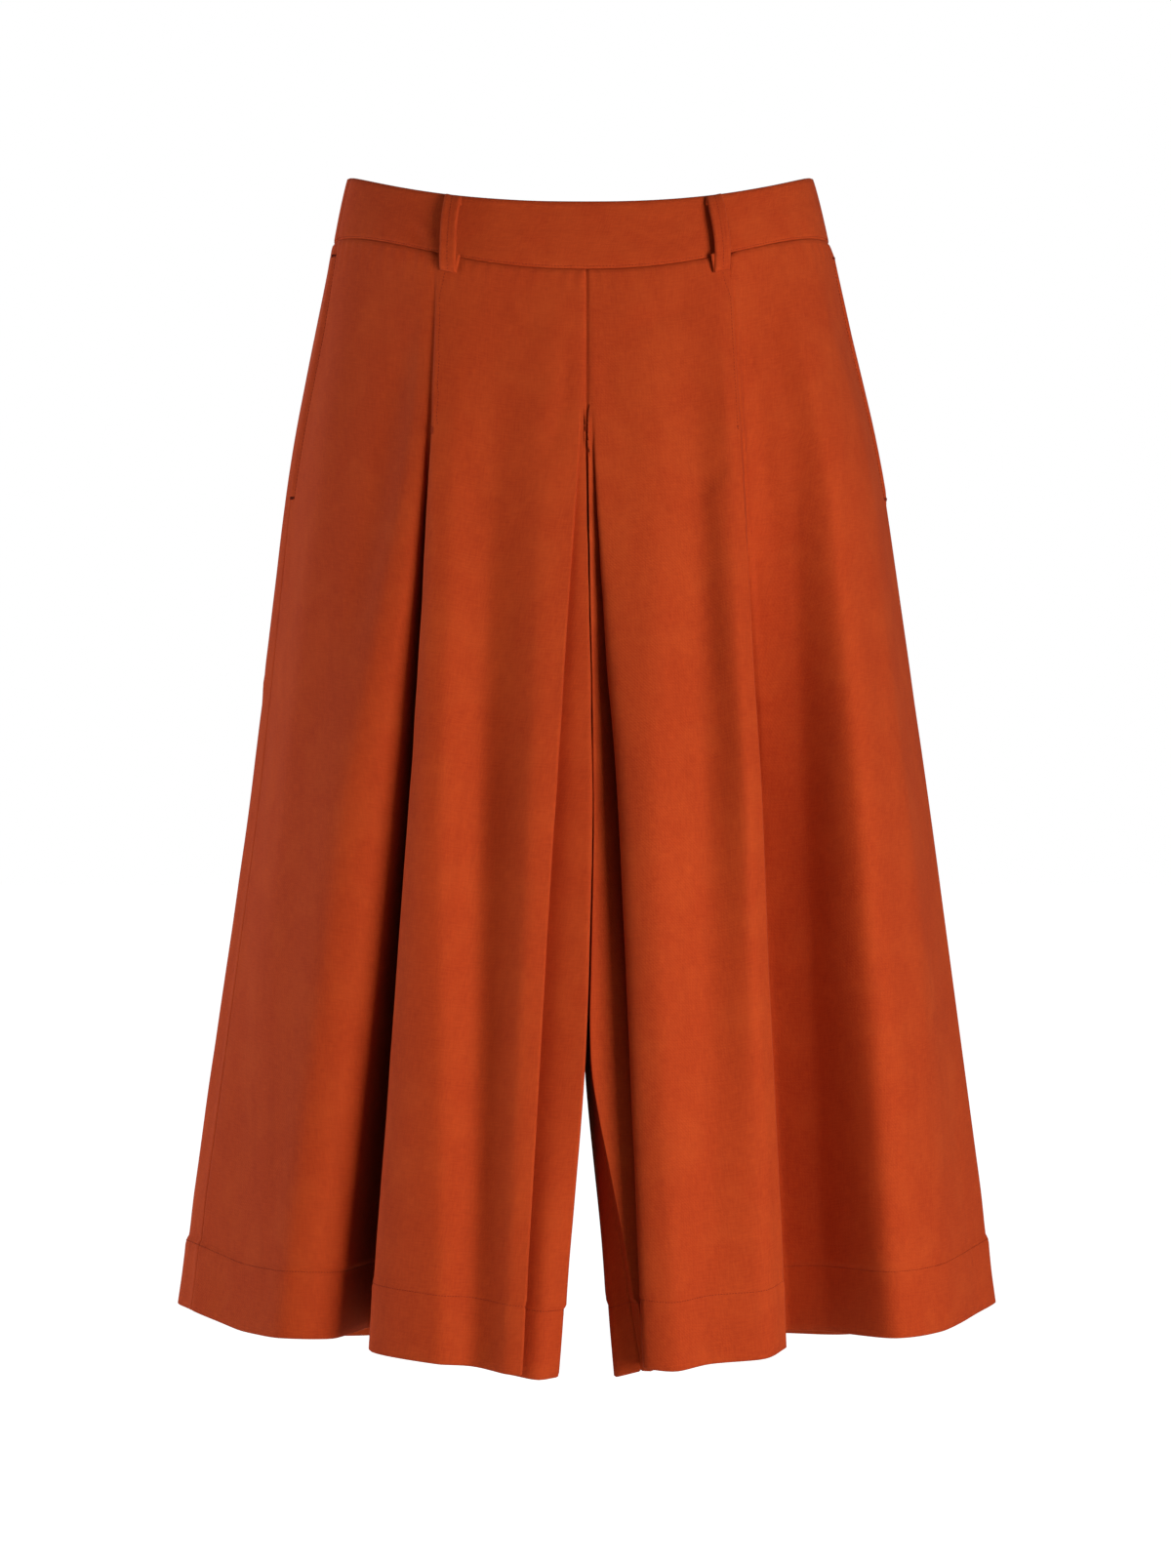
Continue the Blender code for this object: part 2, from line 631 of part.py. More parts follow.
def make_zip():
    back, z = pin_place()
    pin_y = SLIDER_DEPTH + PIN_REACH
    place = (0.0, back * MM, z * MM)
    half = SLIDER_WIDTH / 2
    builder = bmesh.new()
    box(builder, (-half, 0.0, -SLIDER_HEIGHT / 2), (half, SLIDER_DEPTH, SLIDER_HEIGHT / 2))
    slider = make_node("zip_slider", builder, METAL, place)
    for side in (-1, 1):
        outer = side * half
        inner = side * (half - EAR_THICKNESS)
        low, high = min(outer, inner), max(outer, inner)
        ear = bmesh.new()
        box(ear, (low, SLIDER_DEPTH / 2, -EAR_HEIGHT / 2), (high, SLIDER_DEPTH + EAR_REACH, EAR_HEIGHT / 2))
        combine(slider, "UNION", helper(f"ear_{'right' if side < 0 else 'left'}", ear))
    pin = rod("pin", PIN_RADIUS, half - EAR_THICKNESS / 2)
    pin.location = (0.0, pin_y * MM, 0.0)
    combine(slider, "UNION", pin)

    builder = bmesh.new()
    eye_half = EYE_WIDTH / 2
    foot_half = TAB_FOOT_WIDTH / 2
    box(builder, (-eye_half, -TAB_THICKNESS / 2, -TAB_LENGTH), (eye_half, TAB_THICKNESS / 2, 0.0))
    for vertex in builder.verts:
        if vertex.co.z < -TAB_LENGTH / 2 * MM:
            vertex.co.x = math.copysign(foot_half * MM, vertex.co.x)
    pull = make_node("zip_pull", builder, METAL, (0.0, (back + pin_y) * MM, z * MM))
    combine(pull, "UNION", rod("eye", EYE_RADIUS, eye_half))
    combine(pull, "DIFFERENCE", rod("bore", EYE_BORE, EYE_WIDTH))


def main():
    clear_scene()
    grids, normals = make_panels()
    make_waistband()
    for loop in LOOPS:
        make_loop(loop, grids[loop.panel])
    make_pocket("pocket_right", grids["front_right"], normals["front_right"])
    make_pocket("pocket_left", grids["front_left"], normals["front_left"])
    make_zip()


main()
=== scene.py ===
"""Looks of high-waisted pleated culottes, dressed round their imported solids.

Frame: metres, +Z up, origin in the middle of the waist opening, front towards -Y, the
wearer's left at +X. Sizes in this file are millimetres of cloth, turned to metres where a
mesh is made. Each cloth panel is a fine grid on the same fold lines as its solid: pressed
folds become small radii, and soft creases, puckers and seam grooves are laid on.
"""

from __future__ import annotations

import json
import logging
import math
from dataclasses import dataclass, field, replace
from enum import Enum

import bpy
import numpy as np
from bpy.types import Material, Mesh, Node, NodeSocket, NodeTree
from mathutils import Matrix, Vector, noise

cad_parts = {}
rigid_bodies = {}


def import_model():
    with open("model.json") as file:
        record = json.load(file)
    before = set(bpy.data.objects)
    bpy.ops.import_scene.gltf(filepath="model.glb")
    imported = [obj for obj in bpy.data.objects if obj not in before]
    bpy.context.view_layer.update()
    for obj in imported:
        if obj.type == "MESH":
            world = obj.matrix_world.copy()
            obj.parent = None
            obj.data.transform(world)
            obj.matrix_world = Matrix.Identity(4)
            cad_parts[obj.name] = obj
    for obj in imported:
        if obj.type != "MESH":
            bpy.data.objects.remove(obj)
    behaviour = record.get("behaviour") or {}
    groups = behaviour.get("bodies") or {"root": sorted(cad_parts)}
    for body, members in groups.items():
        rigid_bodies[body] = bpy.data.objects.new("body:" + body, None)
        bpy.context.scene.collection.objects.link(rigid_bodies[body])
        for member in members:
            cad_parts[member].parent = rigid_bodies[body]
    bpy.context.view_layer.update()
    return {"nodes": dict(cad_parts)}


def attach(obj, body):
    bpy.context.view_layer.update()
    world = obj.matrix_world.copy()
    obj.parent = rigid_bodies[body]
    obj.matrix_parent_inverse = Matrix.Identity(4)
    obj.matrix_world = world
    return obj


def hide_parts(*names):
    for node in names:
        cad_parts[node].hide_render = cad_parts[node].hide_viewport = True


for start_object in list(bpy.data.objects):
    bpy.data.objects.remove(start_object)
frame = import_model()

LOG = logging.getLogger("culottes")

MM = 0.001
SEED = 11

Place = tuple[float, float]
Spot = tuple[float, float, float]

# ---- cut of the cloth: the sizes that the solids have, but thinner layers ----

SHEET = 1.0
HEM_LAYERS = 2.0
BAND_LAYERS = 2.3
SEAM_GAP = 0.3
WAIST_GAP = 0.45

HIP_Z = -175.0
FORK_Z = -335.0
THIGH_Z = -400.0
KNEE_Z = -560.0

HEM_TURN = 41.0
HEM_STEP = 3.0
HEM_MIDDLE = 20.0

RISE_POWER = 2.2
RISE_STEPS = 6
ROWS_ABOVE = 10
ROWS_BELOW = 13

RING_POWER = 2.3

POCKET_TOP = -50.0
POCKET_FOOT = -206.0
POCKET_GAPE = 2.6
POCKET_STITCH = 7.5

# Where the stitching of the knife pleats ends
PLEAT_TACK_Z = -158.0

# How far stitches and bar tacks stand off the cloth
STITCH_LIFT = 0.05
TACK_LIFT = 0.2

# How far a sheet's edge swells out, as a share of its thickness
EDGE_SWELL = 0.38

# Lengths and shares of the cloth's unevenness, and how much longer it is down the cloth
UNEVEN_LENGTHS = ((46.0, 1.0), (17.0, 0.38))
UNEVEN_STRETCH = 3.2

# Half the length of a thread in the bar tacks
POCKET_TACK = 0.9
PLEAT_TACK = 1.3

# A small turn round the waist, in radians, and the panel's row that a belt loop's foot lies on
SMALL_TURN = 0.02
LOOP_FOOT_ROW = 5

# Rows in the first stretch under the waist seam, and rows of the band down to it, as shares
WAIST_ROWS = (0.025, 0.06, 0.12, 0.3, 0.62)
BAND_ROWS = (*np.linspace(0.0, 0.91, 14), 0.945, 0.968, 0.984, 1.0)


class Face(Enum):
    """The side of the garment that a panel is on."""

    FRONT = "front"
    BACK = "back"


class Side(Enum):
    """The wearer's side, with the sign that turns a grid's normals outwards."""

    RIGHT = -1
    LEFT = 1


# ---- small tools ----


def linear(hex_colour: str) -> tuple[float, float, float, float]:
    """Turns an sRGB hex colour to linear.

    Args:
        hex_colour: Six digits after a hash.

    Returns:
        Linear red, green and blue, and an alpha of 1.
    """
    values = [int(hex_colour[place : place + 2], 16) / 255 for place in (1, 3, 5)]
    red, green, blue = (v / 12.92 if v <= 0.04045 else ((v + 0.055) / 1.055) ** 2.4 for v in values)
    return red, green, blue, 1.0


def unit(vectors: np.ndarray) -> np.ndarray:
    """Vectors of length one."""
    return vectors / np.maximum(np.linalg.norm(vectors, axis=-1, keepdims=True), 1e-9)


def ease(values: np.ndarray) -> np.ndarray:
    """Smooth steps from 0 to 1 over values from 0 to 1."""
    held = np.clip(values, 0.0, 1.0)
    return held * held * (3 - 2 * held)


def bell(values: np.ndarray, width: float) -> np.ndarray:
    """A soft bump, 1 at 0, with the given half width."""
    return np.exp(-((values / width) ** 2))


def tangents(points: np.ndarray) -> np.ndarray:
    """Tangents of a smooth curve through points, along the first axis.

    Args:
        points: Array of points, at least three along the first axis.

    Returns:
        A tangent for each point, no longer than the shorter stretch beside it.
    """
    steps = np.diff(points, axis=0)
    lengths = np.maximum(np.linalg.norm(steps, axis=-1, keepdims=True), 1e-6)
    slopes = steps / lengths
    before, after = lengths[:-1], lengths[1:]
    inner = (slopes[:-1] * before + slopes[1:] * after) / (before + after)
    return np.concatenate((steps[:1], inner * np.minimum(before, after), steps[-1:]))


def smooth_chain(points: np.ndarray, steps: list[int]) -> np.ndarray:
    """Cuts a smooth curve through points into steps.

    Args:
        points: Array of points along the first axis.
        steps: Number of steps in each stretch between two points.

    Returns:
        The finer array, with the given points kept.
    """
    slopes = tangents(points)
    out = [points[0]]
    for index, count in enumerate(steps):
        for step in range(1, count + 1):
            t = step / count
            out.append(
                points[index] * (2 * t**3 - 3 * t**2 + 1)
                + slopes[index] * (t**3 - 2 * t**2 + t)
                + points[index + 1] * (3 * t**2 - 2 * t**3)
                + slopes[index + 1] * (t**3 - t**2)
            )
    return np.array(out)


def arcs(grid: np.ndarray, axis: int) -> np.ndarray:
    """Length of cloth from the first point to each point, along one axis of a grid.

    Args:
        grid: Grid of points.
        axis: 0 for down the cloth, 1 for across it.

    Returns:
        The lengths, by row and column.
    """
    steps = np.linalg.norm(np.diff(grid, axis=axis), axis=-1)
    start = np.zeros_like(np.take(steps, [0], axis=axis))
    return np.concatenate((start, np.cumsum(steps, axis=axis)), axis=axis)


def read_along(places: np.ndarray | float, reach: np.ndarray, values: np.ndarray) -> np.ndarray:
    """Reads points or vectors, one a row, at places along their reach."""
    return np.stack([np.interp(places, reach, column) for column in values.T], axis=-1)


def directions(grid: np.ndarray, axis: int) -> np.ndarray:
    """Mean direction of the two edges that meet at each point.

    Args:
        grid: Grid of points.
        axis: 0 for down the cloth, 1 for across it.

    Returns:
        Directions of length one, by row and column.
    """
    steps = unit(np.diff(grid, axis=axis))
    first = np.take(steps, [0], axis=axis)
    last = np.take(steps, [-1], axis=axis)
    before = np.concatenate((first, steps), axis=axis)
    return unit(before + np.concatenate((steps, last), axis=axis))


def normals_of(grid: np.ndarray, sign: float) -> np.ndarray:
    """Normals of a grid, turned outwards by the sign."""
    return unit(-sign * np.cross(directions(grid, 0), directions(grid, 1)))


def area_of(grid: np.ndarray) -> float:
    """Area of a grid's cloth, in square metres.

    Args:
        grid: Grid of points in millimetres.

    Returns:
        The area.
    """
    first = grid[1:, 1:] - grid[:-1, :-1]
    second = grid[1:, :-1] - grid[:-1, 1:]
    return float(np.linalg.norm(np.cross(first, second), axis=-1).sum()) / 2 * MM * MM


def even_out(values: np.ndarray, axis: int, times: int) -> np.ndarray:
    """Smooths an array along one axis, its ends kept.

    Args:
        values: The array.
        axis: The axis.
        times: How often it is smoothed.

    Returns:
        The smoothed array.
    """
    moved = np.moveaxis(values, axis, 0).copy()
    for _ in range(times):
        moved[1:-1] = (moved[:-2] + 2 * moved[1:-1] + moved[2:]) / 4
    return np.moveaxis(moved, 0, axis)


def add_piece(name: str, mesh: Mesh, body: str) -> bpy.types.Object:
    """Puts a mesh into the scene as a piece that rides on a body.

    Args:
        name: Name of the piece.
        mesh: Its mesh, in the row frame and in metres.
        body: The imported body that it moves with.

    Returns:
        The new object.
    """
    piece = bpy.data.objects.new(name, mesh)
    bpy.context.scene.collection.objects.link(piece)
    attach(piece, body)
    return piece


def add_cloth(name: str, mesh: Mesh, finish: Material) -> bpy.types.Object:
    """Puts a mesh of cloth in the place of a solid.

    Args:
        name: Name of the solid's node.
        mesh: The mesh.
        finish: Its material.

    Returns:
        The new object.
    """
    mesh.materials.append(finish)
    piece = add_piece(f"{name}_cloth", mesh, "garment")
    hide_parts(name)
    return piece


def cloth_mesh(name: str, outer: np.ndarray, inner: np.ndarray, uv: np.ndarray) -> Mesh:
    """Makes a closed sheet of cloth from its two faces, with a rounded edge all round.

    Args:
        name: Name of the mesh.
        outer: Grid of points of the outer face, in millimetres.
        inner: Grid of the inner face.
        uv: Lengths of cloth across and down at each point, in millimetres.

    Returns:
        The mesh, smooth, with its faces outwards and a UV map in millimetres.
    """
    rows, columns = outer.shape[:2]
    size = rows * columns
    index = np.arange(size).reshape(rows, columns)
    rim = np.concatenate((index[0], index[1:, -1], index[-1, -2::-1], index[-2:0:-1, 0]))
    flat_outer, flat_inner = outer.reshape(-1, 3), inner.reshape(-1, 3)
    middle = (flat_outer[rim] + flat_inner[rim]) / 2
    inward = np.concatenate((index[1], index[1:, -2], index[-2, -2::-1], index[-2:0:-1, 1]))
    thickness = np.linalg.norm(flat_outer[rim] - flat_inner[rim], axis=1, keepdims=True)
    swell = unit(flat_outer[rim] - flat_outer[inward]) * thickness * EDGE_SWELL
    points = np.concatenate((flat_outer, flat_inner, middle + swell)) * MM
    a, b = index[:-1, :-1].ravel(), index[1:, :-1].ravel()
    c, d = index[1:, 1:].ravel(), index[:-1, 1:].ravel()
    around = np.roll(rim, -1)
    mid = 2 * size + np.arange(len(rim))
    next_mid = np.roll(mid, -1)
    faces = np.concatenate(
        (
            np.stack((a, b, c, d), axis=1),
            np.stack((d, c, b, a), axis=1) + size,
            np.stack((rim, around, next_mid, mid), axis=1),
            np.stack((mid, next_mid, around + size, rim + size), axis=1),
        )
    )
    facing = np.cross(flat_outer[b[0]] - flat_outer[a[0]], flat_outer[d[0]] - flat_outer[a[0]])
    if np.dot(facing, flat_outer[a[0]] - flat_inner[a[0]]) < 0:
        faces = faces[:, ::-1]
    mesh = bpy.data.meshes.new(name)
    mesh.from_pydata(points, [], faces.tolist())
    flat_uv = uv.reshape(-1, 2)
    every_uv = np.concatenate((flat_uv, flat_uv, flat_uv[rim]))
    layer = mesh.uv_layers.new(name="cloth_mm")
    loops = np.zeros(len(mesh.loops), dtype=np.int32)
    mesh.loops.foreach_get("vertex_index", loops)
    layer.data.foreach_set("uv", every_uv[loops].astype(np.float32).ravel())
    mesh.shade_smooth()
    mesh.update()
    return mesh


# ---- finishes ----


def add_node(
    tree: NodeTree, kind: str, settings: dict[str, object], **links: object
) -> Node:
    """Adds a node with its settings, and links or sets its inputs.

    Args:
        tree: The tree to add to.
        kind: The node's type.
        settings: Its properties by name.
        links: Inputs by name, with spaces as underscores: a socket to link from or a value.

    Returns:
        The node.
    """
    node = tree.nodes.new(kind)
    for key, value in settings.items():
        setattr(node, key, value)
    for key, value in links.items():
        label, _, place = key.replace("_", " ").partition("  ")
        found = [socket for socket in node.inputs if socket.name == label and socket.enabled]
        socket = found[int(place) if place else 0]
        if isinstance(value, NodeSocket):
            tree.links.new(value, socket)
        else:
            socket.default_value = value
    return node


def noise_fac(
    tree: NodeTree, place: NodeSocket, scale: float, **settings: float
) -> NodeSocket:
    """Noise from 0 to 1 at a place, with the given scale, detail, roughness and distortion."""
    return add_node(
        tree, "ShaderNodeTexNoise", {}, Vector=place, Scale=scale, **settings
    ).outputs["Fac"]


def stretched(tree: NodeTree, place: NodeSocket, scale: Spot) -> NodeSocket:
    """A place scaled by axis, so that a pattern on it gets longer one way."""
    return add_node(tree, "ShaderNodeMapping", {}, Vector=place, Scale=scale).outputs["Vector"]


def ranged(
    tree: NodeTree, value: NodeSocket, low: float, high: float, most: float = 1.0
) -> NodeSocket:
    """A value turned to a share from 0 at low to the most at high."""
    return add_node(
        tree, "ShaderNodeMapRange", {}, Value=value, From_Min=low, From_Max=high, To_Max=most
    ).outputs["Result"]


def blend(tree: NodeTree, share: NodeSocket, first: object, second: object) -> NodeSocket:
    """A colour between two, by a share."""
    return add_node(
        tree, "ShaderNodeMix", {"data_type": "RGBA"}, Factor=share, A=first, B=second
    ).outputs[2]


def scaled(tree: NodeTree, value: NodeSocket, by: float) -> NodeSocket:
    """A value times a number."""
    return add_node(
        tree, "ShaderNodeMath", {"operation": "MULTIPLY"}, Value=value, Value__1=by
    ).outputs["Value"]


def scaled_sum(tree: NodeTree, value: NodeSocket, by: float, added: object) -> NodeSocket:
    """A value times a number, plus another value."""
    return add_node(
        tree,
        "ShaderNodeMath",
        {"operation": "MULTIPLY_ADD"},
        Value=value,
        Value__1=by,
        Value__2=added,
    ).outputs["Value"]


def add_relief(
    tree: NodeTree, shader: Node, height: NodeSocket, strength: float, depth_mm: float
) -> None:
    """Gives a shader a fine relief."""
    relief = add_node(
        tree, "ShaderNodeBump", {}, Height=height, Strength=strength, Distance=depth_mm * MM
    ).outputs["Normal"]
    tree.links.new(relief, shader.inputs["Normal"])


def set_inputs(shader: Node, **values: object) -> None:
    """Sets a shader's inputs by name, with spaces as underscores."""
    for key, value in values.items():
        shader.inputs[key.replace("_", " ")].default_value = value


def new_material(name: str) -> tuple[Material, NodeTree, Node]:
    """A new material, its tree and its Principled shader.

    Args:
        name: Name of the material.

    Returns:
        The material, its tree and the shader.
    """
    material = bpy.data.materials.new(name)
    material.use_nodes = True
    return material, material.node_tree, material.node_tree.nodes["Principled BSDF"]


@dataclass(frozen=True)
class BrushedTwill:
    """Viscose-blend twill, woven fine and lightly brushed: matt, with a short soft nap.

    The nap scatters light at grazing angles, so folds keep a faint bright rim and no gloss.
    Real ribs are 0.45 mm apart; they are drawn at 1.1 mm, the finest that shows here.
    Pressing and handling lay the nap this way and that: soft blotches of 10 to 40 mm, and
    faint streaks along the warp.
    """

    name: str = "brushed_rust_twill"
    warp: str = "#B13E14"
    weft: str = "#9D320F"
    rubbed: str = "#C4521F"
    pressed: str = "#8E2C0D"
    rib_mm: float = 1.1
    thread_mm: float = 0.9
    blotch_mm: float = 34.0
    streak_mm: float = 7.0
    fuzz_mm: float = 0.8
    thread_stretch: float = 0.12
    streak_stretch: float = 0.07
    rubbed_share: float = 0.24
    pressed_share: float = 0.16
    roughness: float = 0.9
    relief_mm: float = 0.16

    def material(self) -> Material:
        """Builds the cloth's material on the UV map in millimetres.

        Returns:
            The material.
        """
        material, tree, shader = new_material(self.name)
        cloth = add_node(tree, "ShaderNodeUVMap", {"uv_map": "cloth_mm"}).outputs["UV"]
        place = add_node(tree, "ShaderNodeTexCoord", {}).outputs["Object"]
        # A wave's bands repeat every pi / 10 units at scale 1
        ribs = add_node(
            tree,
            "ShaderNodeTexWave",
            {"wave_type": "BANDS", "bands_direction": "DIAGONAL"},
            Vector=cloth,
            Scale=math.pi / 10 / self.rib_mm,
            Distortion=1.6,
            Detail=1.0,
            Detail_Scale=1.5,
        ).outputs["Fac"]
        down_cloth = stretched(tree, cloth, (1.0, self.thread_stretch, 1.0))
        across_cloth = stretched(tree, cloth, (self.thread_stretch, 1.0, 1.0))
        slubs = noise_fac(tree, down_cloth, 1 / self.thread_mm, Detail=2.0)
        picks = noise_fac(tree, across_cloth, 1 / self.thread_mm, Detail=2.0)
        blotches = noise_fac(
            tree, place, 1 / (self.blotch_mm * MM), Detail=5.0, Roughness=0.6, Distortion=0.4
        )
        along_warp = stretched(tree, cloth, (1.0, self.streak_stretch, 1.0))
        streaks = noise_fac(tree, along_warp, 1 / self.streak_mm, Detail=4.0, Roughness=0.6)
        fuzz = noise_fac(tree, place, 1 / (self.fuzz_mm * MM), Detail=2.0)
        weave = scaled_sum(tree, picks, 0.5, scaled_sum(tree, slubs, 0.5, 0.0))
        woven = blend(tree, ranged(tree, weave, 0.3, 0.7), linear(self.weft), linear(self.warp))
        rub = ranged(tree, blotches, 0.42, 0.72, self.rubbed_share)
        press = ranged(tree, streaks, 0.5, 0.3, self.pressed_share)
        dyed = blend(
            tree, press, blend(tree, rub, woven, linear(self.rubbed)), linear(self.pressed)
        )
        tree.links.new(dyed, shader.inputs["Base Color"])
        brushed = scaled_sum(tree, fuzz, 0.6, scaled_sum(tree, ribs, 0.35, weave))
        add_relief(tree, shader, brushed, 0.55, self.relief_mm)
        set_inputs(
            shader,
            Roughness=self.roughness,
            Specular_IOR_Level=0.15,
            Sheen_Weight=0.14,
            Sheen_Roughness=0.4,
            Sheen_Tint=linear("#D8703C"),
        )
        return material


@dataclass(frozen=True)
class SewingThread:
    """Spun polyester thread, a shade darker than the cloth, with a faint lustre from its twist."""

    name: str = "rust_sewing_thread"
    colour: str = "#64190A"
    light: str = "#7A240E"
    twist_mm: float = 0.5
    roughness: float = 0.75

    def material(self) -> Material:
        """Builds the thread's material.

        Returns:
            The material.
        """
        material, tree, shader = new_material(self.name)
        place = add_node(tree, "ShaderNodeTexCoord", {}).outputs["Object"]
        twist = noise_fac(tree, place, 1 / (self.twist_mm * MM), Detail=1.0)
        colour = blend(tree, twist, linear(self.colour), linear(self.light))
        tree.links.new(colour, shader.inputs["Base Color"])
        add_relief(tree, shader, twist, 0.4, 0.1)
        set_inputs(shader, Roughness=self.roughness, Specular_IOR_Level=0.12)
        return material


@dataclass(frozen=True)
class PaintedZinc:
    """Die-cast zinc, sprayed to match the cloth: semi-gloss, with a slight orange-peel skin."""

    name: str = "painted_zip_zinc"
    paint: str = "#7A2A16"
    worn: str = "#9A4A30"
    peel_mm: float = 0.7
    roughness: float = 0.38

    def material(self) -> Material:
        """Builds the painted metal's material.

        Returns:
            The material.
        """
        material, tree, shader = new_material(self.name)
        place = add_node(tree, "ShaderNodeTexCoord", {}).outputs["Object"]
        peel = noise_fac(tree, place, 1 / (self.peel_mm * MM), Detail=2.0)
        colour = blend(tree, peel, linear(self.paint), linear(self.worn))
        tree.links.new(colour, shader.inputs["Base Color"])
        add_relief(tree, shader, peel, 0.25, 0.05)
        set_inputs(
            shader,
            Roughness=self.roughness,
            Metallic=0.35,
            Coat_Weight=0.4,
            Coat_Roughness=0.25,
        )
        return material


# ---- waist rings and fold lines ----


@dataclass(frozen=True)
class Ring:
    """An oval round the waist.

    Half widths at the wearer's right and left, half depths at front and back, the height of
    its sides, how far its front and its back dip below them, and how late the dip starts.
    """

    right: float
    left: float
    front: float
    back: float
    side_z: float
    front_dip: float
    back_dip: float
    dip_power: float

    def half_width(self, x: float) -> float:
        """Half width on the side of x."""
        return self.right if x < 0 else self.left

    def height(self, y: float) -> float:
        """Height of the ring at y."""
        depth, dip = (self.front, self.front_dip) if y < 0 else (self.back, self.back_dip)
        return self.side_z - dip * (abs(y) / depth) ** self.dip_power

    def depth(self, x: float, front: bool) -> float:
        """y of the ring at x, on its front or its back.

        Args:
            x: Place across the waist.
            front: Whether it is on the front.

        Returns:
            The y.
        """
        share = min(abs(x) / self.half_width(x), 1.0)
        rise = (1.0 - share**RING_POWER) ** (1.0 / RING_POWER)
        return -self.front * rise if front else self.back * rise

    def point(self, turn: float) -> np.ndarray:
        """Point by its turn: 0 at the wearer's right side, a quarter turn at the front.

        Args:
            turn: The turn, in radians.

        Returns:
            The point.
        """
        across, along = math.cos(turn), math.sin(turn)
        half_width = self.right if across > 0 else self.left
        half_depth = self.front if along > 0 else self.back
        x = -math.copysign(half_width * abs(across) ** (2 / RING_POWER), across)
        y = -math.copysign(half_depth * abs(along) ** (2 / RING_POWER), along)
        return np.array((x, y, self.height(y)))

    def turn(self, x: float, front: bool) -> float:
        """The turn at which the ring passes x.

        Args:
            x: Place across the waist.
            front: Whether it is on the front.

        Returns:
            The turn, in radians.
        """
        across = math.copysign((abs(x) / self.half_width(x)) ** (RING_POWER / 2), -x)
        turn = math.acos(max(-1.0, min(1.0, across)))
        return turn if front else 2 * math.pi - turn

    def snap(self, point: np.ndarray) -> np.ndarray:
        """Moves a point straight out or in to the ring.

        Args:
            point: A point near the ring.

        Returns:
            The point under the ring, the waist seam's gap below it.
        """
        x, y = point[:2]
        depth = self.front if y < 0 else self.back
        reach = (abs(x) / self.half_width(x)) ** RING_POWER + (abs(y) / depth) ** RING_POWER
        x, y = point[:2] / reach ** (1 / RING_POWER)
        return np.array((x, y, self.height(y) - WAIST_GAP))


BAND_TOP = Ring(153.5, 145.5, 100.0, 95.0, 0.0, 25.6, 4.0, 2.0)
# The front dips a little later here than in the solids, which have a power of 3
BAND_SEAM = Ring(162.0, 155.5, 108.0, 102.0, -41.0, 26.5, 5.0, 4.0)


@dataclass(frozen=True)
class Fold:
    """A line of a panel from the waist seam to the hem.

    waist is its x on the waist seam. hip, fork, thigh and knee are (x, y) on those sections,
    a fork or knee of None is passed straight, and hem is (x, y, z). crisp is a pressed fold
    or an edge.
    """

    name: str
    crisp: bool
    waist: float
    hip: Place
    fork: Place | None
    thigh: Place
    knee: Place | None
    hem: Spot

    def line(self, front: bool) -> np.ndarray:
        """Points of the line on the coarse rows that the solid has.

        Args:
            front: Whether the panel is a front one.

        Returns:
            Array of points, one a row.
        """
        y = BAND_SEAM.depth(self.waist, front or self.name == "side seam")
        knots = [(self.waist, y, BAND_SEAM.height(y) - WAIST_GAP)]
        knots.extend(self.rise() if self.fork else [(*self.hip, HIP_Z)])
        knots.append((*self.thigh, THIGH_Z))
        if self.knee:
            knots.append((*self.knee, KNEE_Z))
        knots.append(self.hem)
        table = np.array(knots)
        heights = row_heights(table[0, 2], self.hem[2])
        line = read_along(-heights, -table[:, 2], table)
        free = ROWS_ABOVE if self.name == "inseam" else len(heights)
        line[:free, :2] = even_out(line[:free, :2], 0, 1)
        line[:, 2] = heights
        return line

    def rise(self) -> list[Spot]:
        """A quarter of an oval from the hip down to the fork.

        Returns:
            Points of the rise, from the top.
        """
        points = []
        for step in range(RISE_STEPS + 1):
            angle = math.pi / 2 * step / RISE_STEPS
            level = math.cos(angle) ** (2 / RISE_POWER)
            down = math.sin(angle) ** (2 / RISE_POWER)
            x = self.hip[0] + (self.fork[0] - self.hip[0]) * down
            y = self.fork[1] + (self.hip[1] - self.fork[1]) * level
            points.append((x, y, HIP_Z + (FORK_Z - HIP_Z) * down))
        return points


def row_heights(top: float, hem: float) -> np.ndarray:
    """Heights of one line's coarse rows, from the waist seam to the hem.

    Args:
        top: Height of the waist seam there.
        hem: Height of the hem there.

    Returns:
        The heights, from the top.
    """
    above = np.linspace(top, FORK_Z, ROWS_ABOVE + 1)
    below = np.linspace(FORK_Z, hem + HEM_TURN + HEM_STEP, ROWS_BELOW + 1)
    return np.concatenate((above, below[1:], (hem + HEM_TURN, hem + HEM_MIDDLE, hem)))


# Two panels share each side seam, and each inseam but for its place at the hip
SIDE_SEAM_RIGHT = Fold(
    "side seam", True, -159.0, (-186, -10), None, (-209, -14), None, (-252, -20, -720)
)
SIDE_SEAM_LEFT = Fold("side seam", True, 155.3, (188, 4), None, (221, 12), None, (264, 14, -719))
INSEAM_RIGHT = Fold(
    "inseam", True, -0.15, (-0.15, -126.3), (3.85, 12), (3.9, 10), (-4, -10), (-17, -55, -749)
)
INSEAM_LEFT = Fold(
    "inseam", True, 0.15, (0.15, -126.3), (4.15, 12), (5.2, -35), (2.2, -118), (33, -138, -744)
)

